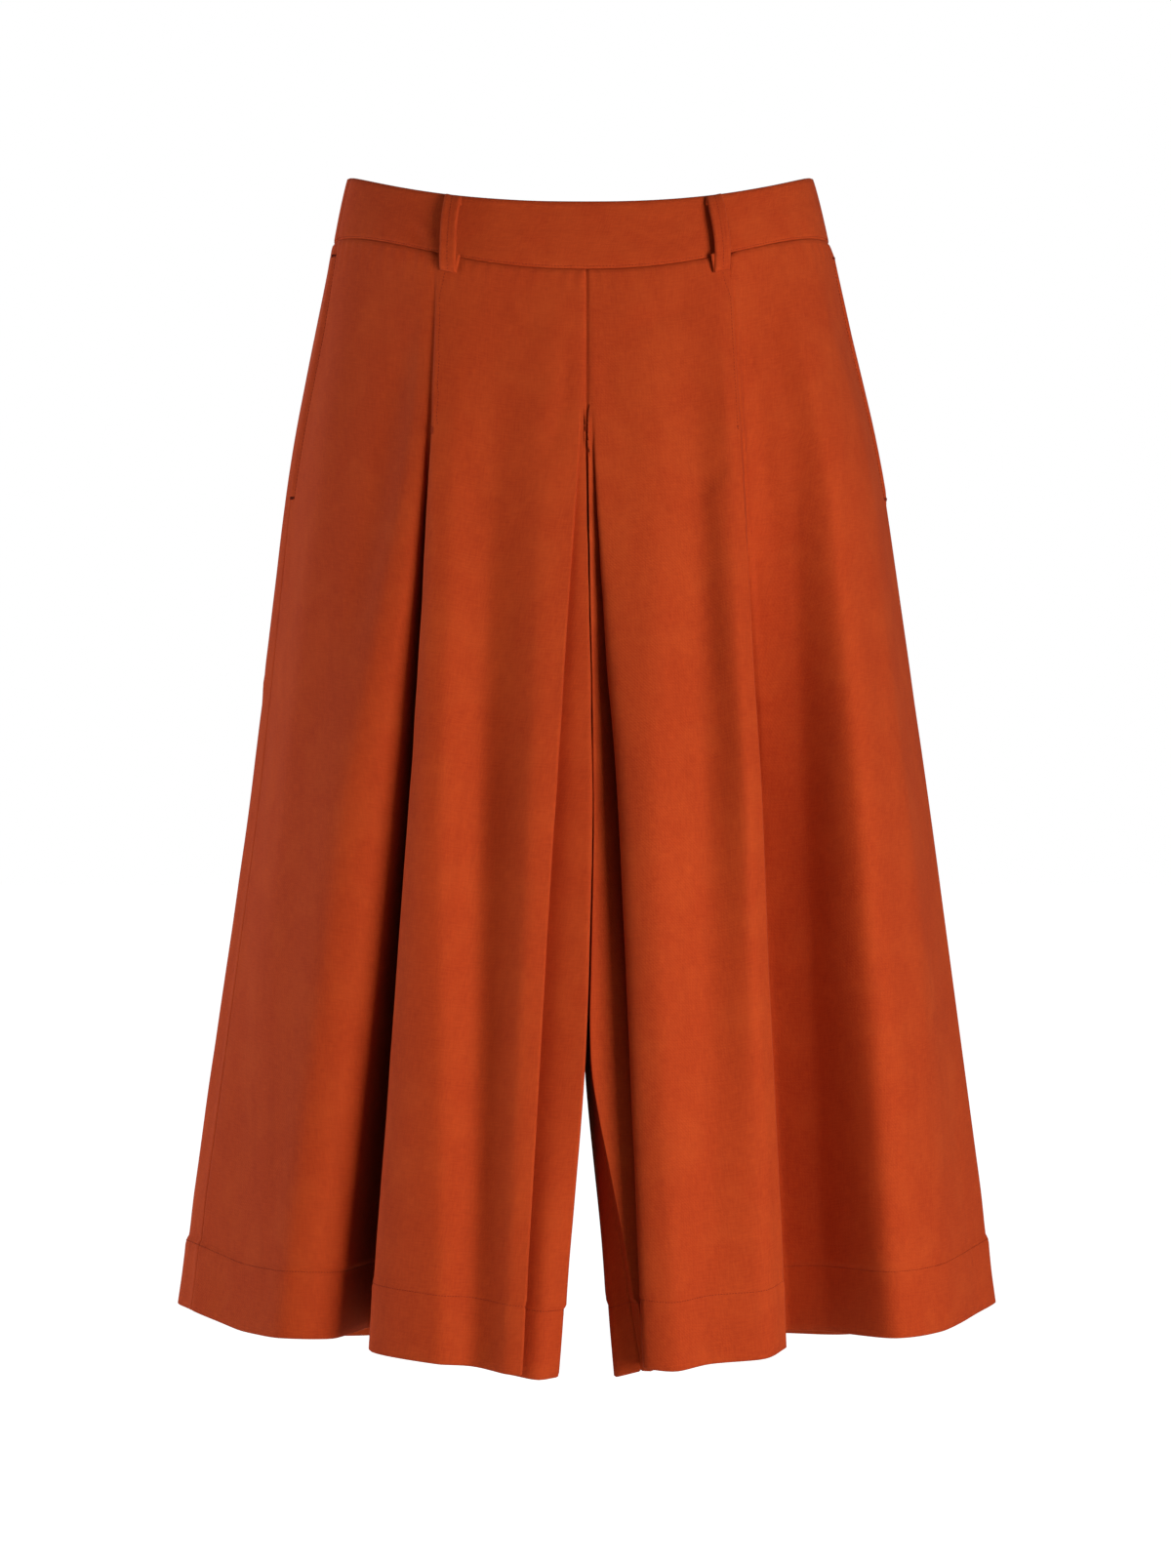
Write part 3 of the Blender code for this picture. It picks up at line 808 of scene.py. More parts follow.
FRONT_RIGHT = (
    SIDE_SEAM_RIGHT,
    Fold("side", False, -140.0, (-163, -66), None, (-189, -70), None, (-221, -62, -727)),
    Fold("side trough", False, -112.0, (-126, -95), None, (-168, -103), None, (-206, -84, -728)),
    Fold("side ridge", False, -101.0, (-109, -109), None, (-147, -125), None, (-188, -105, -728)),
    Fold("pleat shoulder", False, -96.8, (-99.5, -112), None, (-118, -120), None,
         (-156, -98, -729)),
    Fold("pleat valley", False, -94.6, (-97, -112), None, (-109.5, -90), None, (-138, -34, -730)),
    Fold("pleat tuck", True, -93.6, (-96, -113), None, (-103, -84), None, (-126, -28, -731)),
    Fold("pleat edge", False, -92.2, (-94.5, -118), None, (-108, -137), None, (-133, -129, -733)),
    Fold("panel ridge", False, -74.0, (-82, -121), None, (-90, -149), None, (-92, -160, -737)),
    Fold("panel trough", False, -50.0, (-56, -120), None, (-65, -137), None, (-70, -155, -739)),
    Fold("panel front", False, -20.0, (-27, -127), None, (-35, -154), None, (-50, -168, -742)),
    Fold("centre fold", True, -3.0, (-4.5, -127), None, (-19, -153), None, (-38, -170, -743)),
    Fold("centre tuck", True, -2.4, (-3.6, -126.8), None, (-22, -130), None, (-47, -140, -746)),
    Fold("underlay", False, -1.6, (-2.4, -126.6), None, (-11, -136), None, (-30, -150, -748)),
    Fold("inner edge", True, -0.9, (-0.9, -126.4), None, (3.9, -138), (0, -147), (-17, -138, -748)),
    INSEAM_RIGHT,
)

FRONT_LEFT = (
    SIDE_SEAM_LEFT,
    Fold("side", False, 138.0, (176, -56), None, (200, -68), None, (226, -62, -728)),
    Fold("side ridge", False, 120.0, (151, -97), None, (171, -109), None, (191, -88, -730)),
    Fold("side trough", False, 106.0, (126, -97), None, (135, -80), None, (150, -42, -731)),
    Fold("pleat valley", False, 95.0, (101.5, -102), None, (113, -67), None, (128, -24, -733)),
    Fold("pleat tuck", True, 90.6, (96.5, -113), None, (106.5, -63), None, (118, -25, -734)),
    Fold("pleat edge", True, 89.2, (94.5, -118), None, (107.5, -140), None, (123, -122, -732)),
    Fold("panel ridge", False, 80.0, (86, -121), None, (97, -152), None, (109, -143, -736)),
    Fold("panel trough", False, 60.0, (68, -119), None, (72, -143), None, (76, -152, -738)),
    Fold("panel bulge", False, 30.0, (41, -126), None, (41, -160), None, (54, -165, -741)),
    Fold("centre fold", False, 3.0, (4.5, -127), None, (20, -148), None, (34, -157, -740)),
    Fold("centre tuck", True, 2.4, (3.6, -126.8), None, (26, -106), None, (46, -138, -742)),
    Fold("underlay", False, 1.6, (2.4, -126.6), None, (14, -124), None, (42, -139, -743)),
    Fold("inner edge", True, 0.9, (0.9, -126.4), None, (4.6, -136), (1.7, -137), (39, -140, -744)),
    INSEAM_LEFT,
)

BACK_RIGHT = (
    replace(INSEAM_RIGHT, hip=(-0.15, 140)),
    Fold("inner leg", False, -12.0, (-14, 140), (0, 74), (-1.5, 66), None, (-17, 22, -750)),
    Fold("seat", False, -35.0, (-42, 140), None, (-26, 122), None, (-30, 92, -752)),
    Fold("back trough", False, -62.0, (-80, 130), None, (-78, 135), None, (-80, 120, -755)),
    Fold("back ridge", False, -90.0, (-115, 112), None, (-120, 138), None, (-124, 147, -755)),
    Fold("outer trough", False, -120.0, (-146, 84), None, (-162, 107), None, (-174, 110, -751)),
    Fold("outer ridge", False, -143.0, (-176, 50), None, (-204, 72), None, (-233, 84, -738)),
    Fold("widest", False, -161.5, (-189.5, 9), None, (-217, 18), None, (-263, 24, -721)),
    SIDE_SEAM_RIGHT,
)

BACK_LEFT = (
    replace(INSEAM_LEFT, hip=(0.15, 140)),
    Fold("inner edge", False, 5.0, (6, 140), (6.5, 42), (5.6, 8), (1.0, -84), (17, -126, -749)),
    Fold("inner leg", False, 14.0, (17, 140), (5, 84), (2.5, 72), (0, 20), (19, -14, -750)),
    Fold("seat", False, 36.0, (44, 140), None, (34, 124), None, (34, 92, -752)),
    Fold("back trough", False, 62.0, (80, 130), None, (82, 136), None, (84, 122, -754)),
    Fold("back ridge", False, 90.0, (115, 112), None, (122, 138), None, (128, 147, -754)),
    Fold("outer trough", False, 118.0, (146, 84), None, (163, 106), None, (178, 108, -750)),
    Fold("outer ridge", False, 140.0, (178, 46), None, (204, 68), None, (232, 84, -737)),
    SIDE_SEAM_LEFT,
)


# ---- creases ----


@dataclass(frozen=True)
class Crease:
    """A soft ridge, or a trough where its height is below 0, along a path.

    The path is (x, z) as seen square on from the front or the back.
    """

    height: float
    width: float
    path: tuple[Place, ...]
    fade_share: float = 0.25

    def lift(self, points: np.ndarray) -> np.ndarray:
        """How far the crease lifts each point.

        Args:
            points: Grid of points.

        Returns:
            The lift in millimetres, fading towards both ends of the path.
        """
        spots = points[..., (0, 2)]
        ends = np.array(self.path, dtype=float)
        lengths = np.linalg.norm(np.diff(ends, axis=0), axis=1)
        total = lengths.sum()
        nearest = np.full(spots.shape[:-1], np.inf)
        along = np.zeros(spots.shape[:-1])
        passed = 0.0
        for first, last, length in zip(ends[:-1], ends[1:], lengths):
            step = (last - first) / length
            reach = np.clip((spots - first) @ step, 0.0, length)
            gap = np.linalg.norm(spots - first - reach[..., None] * step, axis=-1)
            closer = gap < nearest
            nearest = np.where(closer, gap, nearest)
            along = np.where(closer, (passed + reach) / total, along)
            passed += length
        fade = ease(np.minimum(along, 1 - along) / self.fade_share)
        return self.height * bell(nearest, self.width) * fade


CREASES = {
    "front_right": (
        Crease(-2.2, 8.0, ((-103, -80), (-112, -115), (-119, -158), (-127, -210), (-149, -330))),
        Crease(1.2, 7.0, ((-96, -110), (-104, -205), (-112, -265), (-122, -330))),
        Crease(-1.1, 4.5, ((-76, -78), (-60, -88), (-42, -99), (-22, -108))),
        Crease(0.9, 5.0, ((-70, -84), (-52, -96), (-34, -108))),
        Crease(-1.2, 11.0, ((-160, -240), (-168, -330), (-182, -440), (-196, -560))),
        Crease(1.3, 13.0, ((-176, -230), (-186, -340), (-200, -470), (-214, -600))),
        Crease(-1.0, 9.0, ((-64, -320), (-68, -450), (-66, -600), (-70, -700))),
        Crease(-0.9, 6.0, ((-8, -112), (-14, -150), (-26, -196))),
        Crease(-0.8, 5.0, ((-86, -180), (-72, -204), (-58, -222))),
    ),
    "front_left": (
        Crease(-1.6, 8.0, ((103, -130), (110, -190), (120, -260))),
        Crease(1.4, 8.0, ((78, -170), (84, -260), (90, -350))),
        Crease(-1.0, 5.0, ((72, -80), (58, -92), (38, -102), (20, -110))),
        Crease(-1.3, 10.0, ((170, -220), (182, -330), (196, -460), (206, -580))),
        Crease(1.2, 12.0, ((188, -230), (200, -350), (216, -500), (228, -640))),
        Crease(0.9, 9.0, ((60, -300), (62, -430), (64, -580), (66, -700))),
        Crease(-0.8, 6.0, ((9, -116), (16, -150), (30, -190))),
        Crease(-0.8, 5.0, ((92, -176), (78, -198), (62, -214))),
    ),
    "back_right": (
        Crease(-2.0, 9.0, ((-30, -70), (-38, -130), (-50, -210), (-56, -300))),
        Crease(1.2, 10.0, ((-60, -80), (-66, -170), (-70, -260))),
        Crease(-1.8, 7.0, ((-8, -300), (-30, -312), (-60, -306), (-86, -290))),
        Crease(-1.4, 6.0, ((-12, -330), (-36, -352), (-60, -372))),
        Crease(-1.5, 11.0, ((-100, -300), (-104, -430), (-108, -560), (-106, -690))),
        Crease(1.2, 9.0, ((-140, -120), (-146, -220), (-150, -330))),
        Crease(-1.2, 9.0, ((-190, -330), (-196, -450), (-204, -600))),
    ),
    "back_left": (
        Crease(-1.8, 8.0, ((34, -74), (40, -140), (54, -220), (62, -310))),
        Crease(1.1, 9.0, ((66, -84), (70, -180), (76, -280))),
        Crease(-1.7, 7.0, ((10, -306), (34, -318), (64, -314), (92, -300))),
        Crease(-1.3, 6.0, ((14, -336), (38, -360), (64, -384))),
        Crease(-1.3, 10.0, ((104, -320), (108, -440), (110, -570), (112, -700))),
        Crease(1.1, 9.0, ((138, -130), (146, -230), (152, -340))),
        Crease(-1.3, 10.0, ((188, -300), (196, -440), (206, -590))),
    ),
}


# ---- panels ----


@dataclass
class Panel:
    """A front or back panel with its turned-up hem.

    cut is the flat size of its cloth that shows, in metres, and cut_area its flat area; neither is
    used here.
    """

    name: str
    folds: tuple[Fold, ...]
    face: Face
    side: Side
    cut: tuple[float, float]
    cut_area: float
    column_spacing: float = 3.4
    corner_share: float = 0.62
    rows_above: int = 6
    rows_below: int = 5
    rows_hem: int = 4
    seam_dip: float = 0.7
    seam_width: float = 1.1
    waist_dip: float = 0.9
    waist_width: float = 1.3
    hem_dip: float = 0.35
    hem_width: float = 1.8
    pleat_shut: float = 0.5
    pleat_open: float = 1.2
    seam_reach: float = 4.0
    mouth_reach: float = 24.0
    waist_fade: float = 26.0
    crease_fade: float = 12.0
    uneven_fade: float = 9.0
    waist_pucker: float = 0.32
    hem_pucker: float = 0.22
    hem_wave: float = 0.25
    unevenness: float = 0.7
    points: np.ndarray = field(default=None, repr=False)
    normals: np.ndarray = field(default=None, repr=False)

    @property
    def is_front(self) -> bool:
        """Whether it is a front panel."""
        return self.face is Face.FRONT

    @property
    def hem_row(self) -> int:
        """Row of the hem's stitching."""
        return len(self.points) - 1 - 2 * self.rows_hem

    @property
    def row_steps(self) -> list[int]:
        """Fine rows in each stretch between two coarse ones."""
        steps = [self.rows_above] * ROWS_ABOVE + [self.rows_below] * ROWS_BELOW
        return steps + [2, self.rows_hem, self.rows_hem]

    def lay_out(self) -> None:
        """Lays the fine grid on the fold lines and rounds its pressed folds."""
        lines = np.array([fold.line(self.is_front) for fold in self.folds])
        fine = smooth_chain(lines.transpose(1, 0, 2), self.row_steps)
        corners = [index for index, fold in enumerate(self.folds) if fold.crisp]
        parts, folded = [], []
        for first, last in zip(corners[:-1], corners[1:]):
            part = self.stretch(fine[:, first : last + 1])
            parts.append(part if not parts else part[:, 1:])
            folded.append(sum(piece.shape[1] for piece in parts) - 1)
        grid = np.concatenate(parts, axis=1)
        for column in folded[:-1]:
            for _ in range(2):
                near = slice(column - 1, column + 2)
                before = grid[:, column - 2 : column + 1]
                after = grid[:, column : column + 3]
                grid[:, near] = (before + 2 * grid[:, near] + after) / 4
        snapped = np.array([BAND_SEAM.snap(point) for point in grid[0]]) - grid[0]
        reach = 2 * self.rows_above
        for row in range(reach):
            grid[row] += snapped * (1 - row / reach)
        # Rows crowd under the waist seam, for its ditch
        for row, place in enumerate(WAIST_ROWS, 1):
            grid[row] = grid[0] + (grid[self.rows_above] - grid[0]) * place
        self.points = grid
        self.normals = normals_of(grid, self.side.value)

    def stretch(self, knots: np.ndarray) -> np.ndarray:
        """Cuts the cloth between two pressed folds into columns, closer near the folds.

        Args:
            knots: Points of the fold lines in this stretch, by row and line.

        Returns:
            Grid of points by row and column.
        """
        dense_steps = 14
        dense = smooth_chain(knots.transpose(1, 0, 2), [dense_steps] * (knots.shape[1] - 1))
        dense = dense.transpose(1, 0, 2)
        reach = arcs(dense, 1)
        count = max(6, round(float(reach[:, -1].max()) / self.column_spacing))
        t = np.linspace(0.0, 1.0, count + 1)
        shares = (1 - self.corner_share) * t + self.corner_share * (0.5 - 0.5 * np.cos(np.pi * t))
        return np.array([read_along(shares * arc[-1], arc, row) for arc, row in zip(reach, dense)])

    def edge_distance(self) -> np.ndarray:
        """Length of cloth from each point to the nearer side edge."""
        across = arcs(self.points, 1)
        return np.minimum(across, across[:, -1:] - across)

    def pull_back(self, column: int, amounts: np.ndarray, reach: float) -> None:
        """Moves an edge back from its seam, along the cloth.

        Args:
            column: 0 or -1, the edge.
            amounts: How far, for each row.
            reach: Length of cloth over which the move fades out.
        """
        across = arcs(self.points, 1)
        away = across if column == 0 else across[:, -1:] - across
        along = directions(self.points, 1) * (1 if column == 0 else -1)
        fade = np.clip(1 - away / reach, 0.0, 1.0)
        self.points += along * (fade * amounts[:, None])[..., None]

    def part_from_neighbours(self) -> None:
        """Leaves the sewing gap at each seam, and lets the pocket mouth gape."""
        below_fork = np.where(self.points[:, 0, 2] < FORK_Z + 1, SEAM_GAP / 2, 0.0)
        if self.is_front:
            share = (self.points[:, 0, 2] - POCKET_TOP) / (POCKET_FOOT - POCKET_TOP)
            mouth = POCKET_GAPE * np.sin(np.pi * np.clip(share, 0.0, 1.0))
            self.pull_back(0, SEAM_GAP / 2 + mouth, self.mouth_reach)
            self.pull_back(-1, below_fork, self.seam_reach)
        else:
            self.pull_back(-1, np.full(len(self.points), SEAM_GAP / 2), self.seam_reach)
            self.pull_back(0, below_fork, self.seam_reach)

    def wrinkle(self) -> None:
        """Lays creases, seam grooves, puckers and the cloth's unevenness on the grid."""
        grid = self.points
        outwards = -1.0 if self.is_front else 1.0
        facing = ease((self.normals[..., 1] * outwards - 0.1) / 0.4)
        lift = sum(crease.lift(grid) for crease in CREASES[self.name]) * facing
        edge = self.edge_distance()
        across = arcs(grid, 1)
        down = arcs(grid, 0)
        above_hem = down[-1:] - down
        waist_fade = ease(down / self.waist_fade)
        lift *= waist_fade * ease(edge / self.crease_fade)
        lift += self.roughen(across, down) * waist_fade * ease(edge / self.uneven_fade)
        lift -= self.seam_dip * bell(edge, self.seam_width)
        lift -= self.waist_dip * bell(down, self.waist_width)
        lift -= self.hem_dip * bell(above_hem - HEM_TURN, self.hem_width)
        lift += self.pucker(across, down, above_hem)
        if self.is_front:
            lift += self.pocket_edge(across) - self.pleat_ditch(across)
        self.points = grid + self.normals * lift[..., None]
        self.normals = normals_of(self.points, self.side.value)

    def pucker(self, across: np.ndarray, down: np.ndarray, above_hem: np.ndarray) -> np.ndarray:
        """Puckers under the waist seam and along the hem's stitching, and the hem's soft wave.

        Args:
            across: Length of cloth from the first side edge to each point.
            down: Length of cloth from the waist seam.
            above_hem: Length of cloth from the hem's edge.

        Returns:
            The lift of each point in millimetres.
        """
        # The pitch wanders, so that no two puckers are alike
        wander = np.sin(across / 17.0) * 1.7 + np.sin(across / 41.0)
        waist = np.sin(across / 1.35 + wander) * bell(down - 5.0, 7.0) * ease(down / 3.0)
        stitched = np.sin(across / 1.2 + wander * 1.3) * bell(above_hem - HEM_TURN, 7.0)
        wave = np.sin(across / 19.0 + wander) * bell(above_hem, 24.0)
        return self.waist_pucker * waist + self.hem_pucker * stitched + self.hem_wave * wave

    def roughen(self, across: np.ndarray, down: np.ndarray) -> np.ndarray:
        """Gentle unevenness, longer down the cloth than across it.

        Args:
            across: Length of cloth from the first side edge to each point.
            down: Length of cloth from the waist seam.

        Returns:
            The lift of each point in millimetres.
        """
        shift = SEED * 3.7 + len(self.name) * 1.9 + self.side.value
        out = np.zeros(across.shape)
        for size, share in UNEVEN_LENGTHS:
            for place in np.ndindex(out.shape):
                spot = Vector((across[place] / size, down[place] / size / UNEVEN_STRETCH, shift))
                out[place] += noise.noise(spot) * share
        return out * self.unevenness

    def pocket_edge(self, across: np.ndarray) -> np.ndarray:
        """The turned edge of the pocket mouth: thick, a little proud, with a sewn groove behind.

        Args:
            across: Length of cloth from the side seam to each point.

        Returns:
            The lift of each point in millimetres.
        """
        z = self.points[:, :1, 2]
        inside = ease((POCKET_TOP + 6 - z) / 8) * ease((z - POCKET_FOOT + 2) / 8)
        ridge = 1.1 * bell(across - 1.5, 4.0) - 0.5 * bell(across - POCKET_STITCH, 1.6)
        return ridge * inside

    def pleat_ditch(self, across: np.ndarray) -> np.ndarray:
        """The narrow ditch where a knife pleat is stitched shut, and the deeper one below it.

        Args:
            across: Length of cloth from the side seam to each point.

        Returns:
            How deep it is at each point, in millimetres.
        """
        columns = self.column_near("pleat tuck")
        away = across - across[np.arange(len(across)), columns][:, None]
        above = self.points[:, :1, 2] - PLEAT_TACK_Z
        shut = self.pleat_shut * bell(away, 1.0) * ease(above / 8)
        # Below the tack it lies beside the tuck, and runs out 130 to 260 mm down
        opened = self.pleat_open * bell(away + 1.2, 1.8)
        return shut + opened * ease(-above / 14) * ease((above + 260) / 130)

    def thickness(self) -> np.ndarray:
        """Thickness of each row: one layer, and two in the turned-up hem.

        Returns:
            The thicknesses, from the top.
        """
        out = np.full(len(self.points), SHEET)
        out[self.hem_row :] = HEM_LAYERS
        out[self.hem_row - 1] = (SHEET + HEM_LAYERS) / 2
        return out

    def on_cloth(self, row: int, away: float, lift: float) -> np.ndarray:
        """A point on the outer face at a distance from the side seam.

        Args:
            row: The row.
            away: Length of cloth from the side seam.
            lift: How far the point stands off the cloth.

        Returns:
            The point, in millimetres.
        """
        line = self.points[row] if self.is_front else self.points[row, ::-1]
        facing = self.normals[row] if self.is_front else self.normals[row, ::-1]
        reach = arcs(line[None], 1)[0]
        return read_along(away, reach, line) + read_along(away, reach, facing) * lift

    def column_near(self, fold_name: str) -> np.ndarray:
        """For each row, the column nearest to a fold line.

        Args:
            fold_name: Name of the fold.

        Returns:
            The columns, from the top row.
        """
        fold = next(fold for fold in self.folds if fold.name == fold_name)
        line = smooth_chain(fold.line(self.is_front), self.row_steps)
        gaps = np.linalg.norm(self.points - line[:, None], axis=-1)
        return gaps.argmin(axis=1)

    def build(self, finish: Material) -> None:
        """Makes the panel's mesh, puts it in the place of its solid and logs its size.

        Args:
            finish: The cloth's material.
        """
        inner = self.points - self.normals * self.thickness()[:, None, None]
        across = arcs(self.points, 1)
        middle = across.shape[1] // 2
        uv = np.stack((across - across[:, middle : middle + 1], arcs(self.points, 0)), axis=-1)
        mesh = cloth_mesh(f"{self.name}_cloth", self.points, inner, uv)
        piece = add_cloth(self.name, mesh, finish)
        LOG.info(
            "%s: %d faces, %.3f square metres, %.0f mm wide at the hem",
            self.name,
            len(mesh.polygons),
            area_of(self.points),
            float(across[-1, -1]),
        )


def share_normals(
    first: Panel, first_column: int, second: Panel, second_column: int, rows: slice
) -> None:
    """Gives two sewn edges one set of normals, so that their cloth meets face to face.

    Args:
        first: One panel.
        first_column: Its edge, 0 or -1.
        second: The other panel.
        second_column: Its edge.
        rows: The rows that are sewn.
    """
    mean = unit(first.normals[rows, first_column] + second.normals[rows, second_column])
    first.normals[rows, first_column] = mean
    second.normals[rows, second_column] = mean


@dataclass
class Panels:
    """The four panels, laid out together because they share their seams."""

    front_right: Panel = field(
        default_factory=lambda: Panel(
            "front_right", FRONT_RIGHT, Face.FRONT, Side.RIGHT, (0.50, 0.70), 0.27
        )
    )
    front_left: Panel = field(
        default_factory=lambda: Panel(
            "front_left", FRONT_LEFT, Face.FRONT, Side.LEFT, (0.56, 0.70), 0.29,
            pleat_shut=1.4, pleat_open=4.0,
        )
    )
    back_right: Panel = field(
        default_factory=lambda: Panel(
            "back_right", BACK_RIGHT, Face.BACK, Side.RIGHT, (0.42, 0.73), 0.26
        )
    )
    back_left: Panel = field(
        default_factory=lambda: Panel(
            "back_left", BACK_LEFT, Face.BACK, Side.LEFT, (0.42, 0.73), 0.26
        )
    )

    def every(self) -> tuple[Panel, ...]:
        """All four."""
        return self.front_right, self.front_left, self.back_right, self.back_left

    def build(self, finish: Material) -> None:
        """Lays out, parts, wrinkles and makes the panels.

        Args:
            finish: The cloth's material.
        """
        for panel in self.every():
            panel.lay_out()
        self.join_normals()
        for panel in self.every():
            panel.part_from_neighbours()
            panel.wrinkle()
        self.join_normals()
        for panel in self.every():
            panel.build(finish)

    def join_normals(self) -> None:
        """Shares the normals of every sewn edge."""
        fork_row = self.front_right.rows_above * ROWS_ABOVE
        whole, body, legs = slice(None), slice(0, fork_row), slice(fork_row, None)
        share_normals(self.front_right, 0, self.back_right, -1, whole)
        share_normals(self.front_left, 0, self.back_left, -1, whole)
        share_normals(self.front_right, -1, self.back_right, 0, legs)
        share_normals(self.front_left, -1, self.back_left, 0, legs)
        share_normals(self.front_right, -1, self.front_left, -1, body)
        share_normals(self.back_right, 0, self.back_left, 0, body)


# ---- waistband ----


@dataclass
class BandPiece:
    """One piece of the contoured waistband, from one turn of the waist ring to another."""

    name: str
    first_turn: float
    last_turn: float
    cut: tuple[float, float]
    column_spacing: float = 2.6
    puff: float = 0.55
    trim_reach: float = 3.0
    end_dip: float = 0.5
    end_width: float = 1.4
    seam_dip: float = 0.9
    seam_width: float = 1.0
    seam_pucker: float = 0.16
    top_wave: float = 0.22
    points: np.ndarray = field(default=None, repr=False)
    normals: np.ndarray = field(default=None, repr=False)

    def lay_out(self) -> None:
        """Lays the band between its top ring and its seam ring."""
        # The mean radius of the waist oval is about 1.3 times its front depth
        length = 1.3 * abs(self.last_turn - self.first_turn) * BAND_SEAM.front
        count = round(length / self.column_spacing)
        turns = np.linspace(self.first_turn, self.last_turn, count + 1)
        top = np.array([BAND_TOP.point(turn) for turn in turns])
        foot = np.array([BAND_SEAM.point(turn) for turn in turns])
        self.points = top + (foot - top) * np.array(BAND_ROWS)[:, None, None]
        self.normals = normals_of(self.points, -1.0)
        across = arcs(self.points, 1)
        ends = np.minimum(across, across[:, -1:] - across)
        trim = np.clip(1 - across / self.trim_reach, 0, 1)
        trim -= np.clip(1 - (across[:, -1:] - across) / self.trim_reach, 0, 1)
        self.points = self.points + directions(self.points, 1) * (trim * SEAM_GAP / 2)[..., None]
        down = arcs(self.points, 0)
        tall = down[-1:]
        lift = self.puff * np.sin(np.pi * np.clip(down / tall, 0, 1)) ** 0.6 - self.puff
        lift += sum(crease.lift(self.points) for crease in BAND_CREASES) * (self.points[..., 1] < 0)
        lift -= self.end_dip * bell(ends, self.end_width)
        lift -= self.seam_dip * bell(tall - down, self.seam_width)
        phase = np.sin(across / 23.0) * 1.5
        lift += self.seam_pucker * np.sin(across / 1.5 + phase) * bell(tall - down - 3.0, 5.0)
        lift += self.top_wave * np.sin(across / 14.0 + phase) * bell(down - 8.0, 14.0)
        self.points = self.points + self.normals * lift[..., None]
        self.normals = normals_of(self.points, -1.0)

    def build(self, finish: Material) -> None:
        """Makes the piece.

        Args:
            finish: The cloth's material.
        """
        inner = self.points - self.normals * BAND_LAYERS
        across = arcs(self.points, 1)
        # The band is cut along the selvedge, so its ribs run the other way
        uv = np.stack((arcs(self.points, 0), across), axis=-1)
        mesh = cloth_mesh(f"{self.name}_cloth", self.points, inner, uv)
        piece = add_cloth(self.name, mesh, finish)
        LOG.info("%s: %d faces, %.0f mm long", self.name, len(mesh.polygons), float(across[-1, -1]))

    def stitch_line(self, up: float) -> np.ndarray:
        """A line along the band at a height above its lower edge.

        Args:
            up: The height.

        Returns:
            Points of the line.
        """
        tall = arcs(self.points, 0)[-1].mean()
        row = np.interp(1 - up / tall, BAND_ROWS, np.arange(len(BAND_ROWS)))
        low = int(row)
        share = row - low
        line = self.points[low] * (1 - share) + self.points[low + 1] * share
        return line + self.normals[low] * STITCH_LIFT


BAND_CREASES = (
    Crease(-0.9, 3.0, ((-111, -38), (-105, -46), (-99, -54))),
    Crease(-0.7, 3.5, ((133, -34), (138, -42), (141, -49))),
    Crease(-0.4, 6.0, ((-30, -34), (-26, -50), (-28, -62))),
    Crease(-0.4, 7.0, ((44, -32), (48, -48), (46, -60))),
)


@dataclass
class Waistband:
    """The waistband, parted at both side seams and at the centre back."""

    pieces: list[BandPiece] = field(default_factory=list)

    def build(self, finish: Material) -> None:
        """Lays out and makes the three pieces.

        Args:
            finish: The cloth's material.
        """
        right = BAND_SEAM.turn(FRONT_RIGHT[0].waist, True)
        left = BAND_SEAM.turn(FRONT_LEFT[0].waist, True)
        back = math.radians(270)
        self.pieces = [
            BandPiece("waistband_front", right, left, (0.41, 0.041)),
            BandPiece("waistband_back_left", left, back, (0.21, 0.041)),
            BandPiece("waistband_back_right", back, 2 * math.pi + right, (0.21, 0.041)),
        ]
        for piece in self.pieces:
            piece.lay_out()
            piece.build(finish)


# ---- belt loops ----


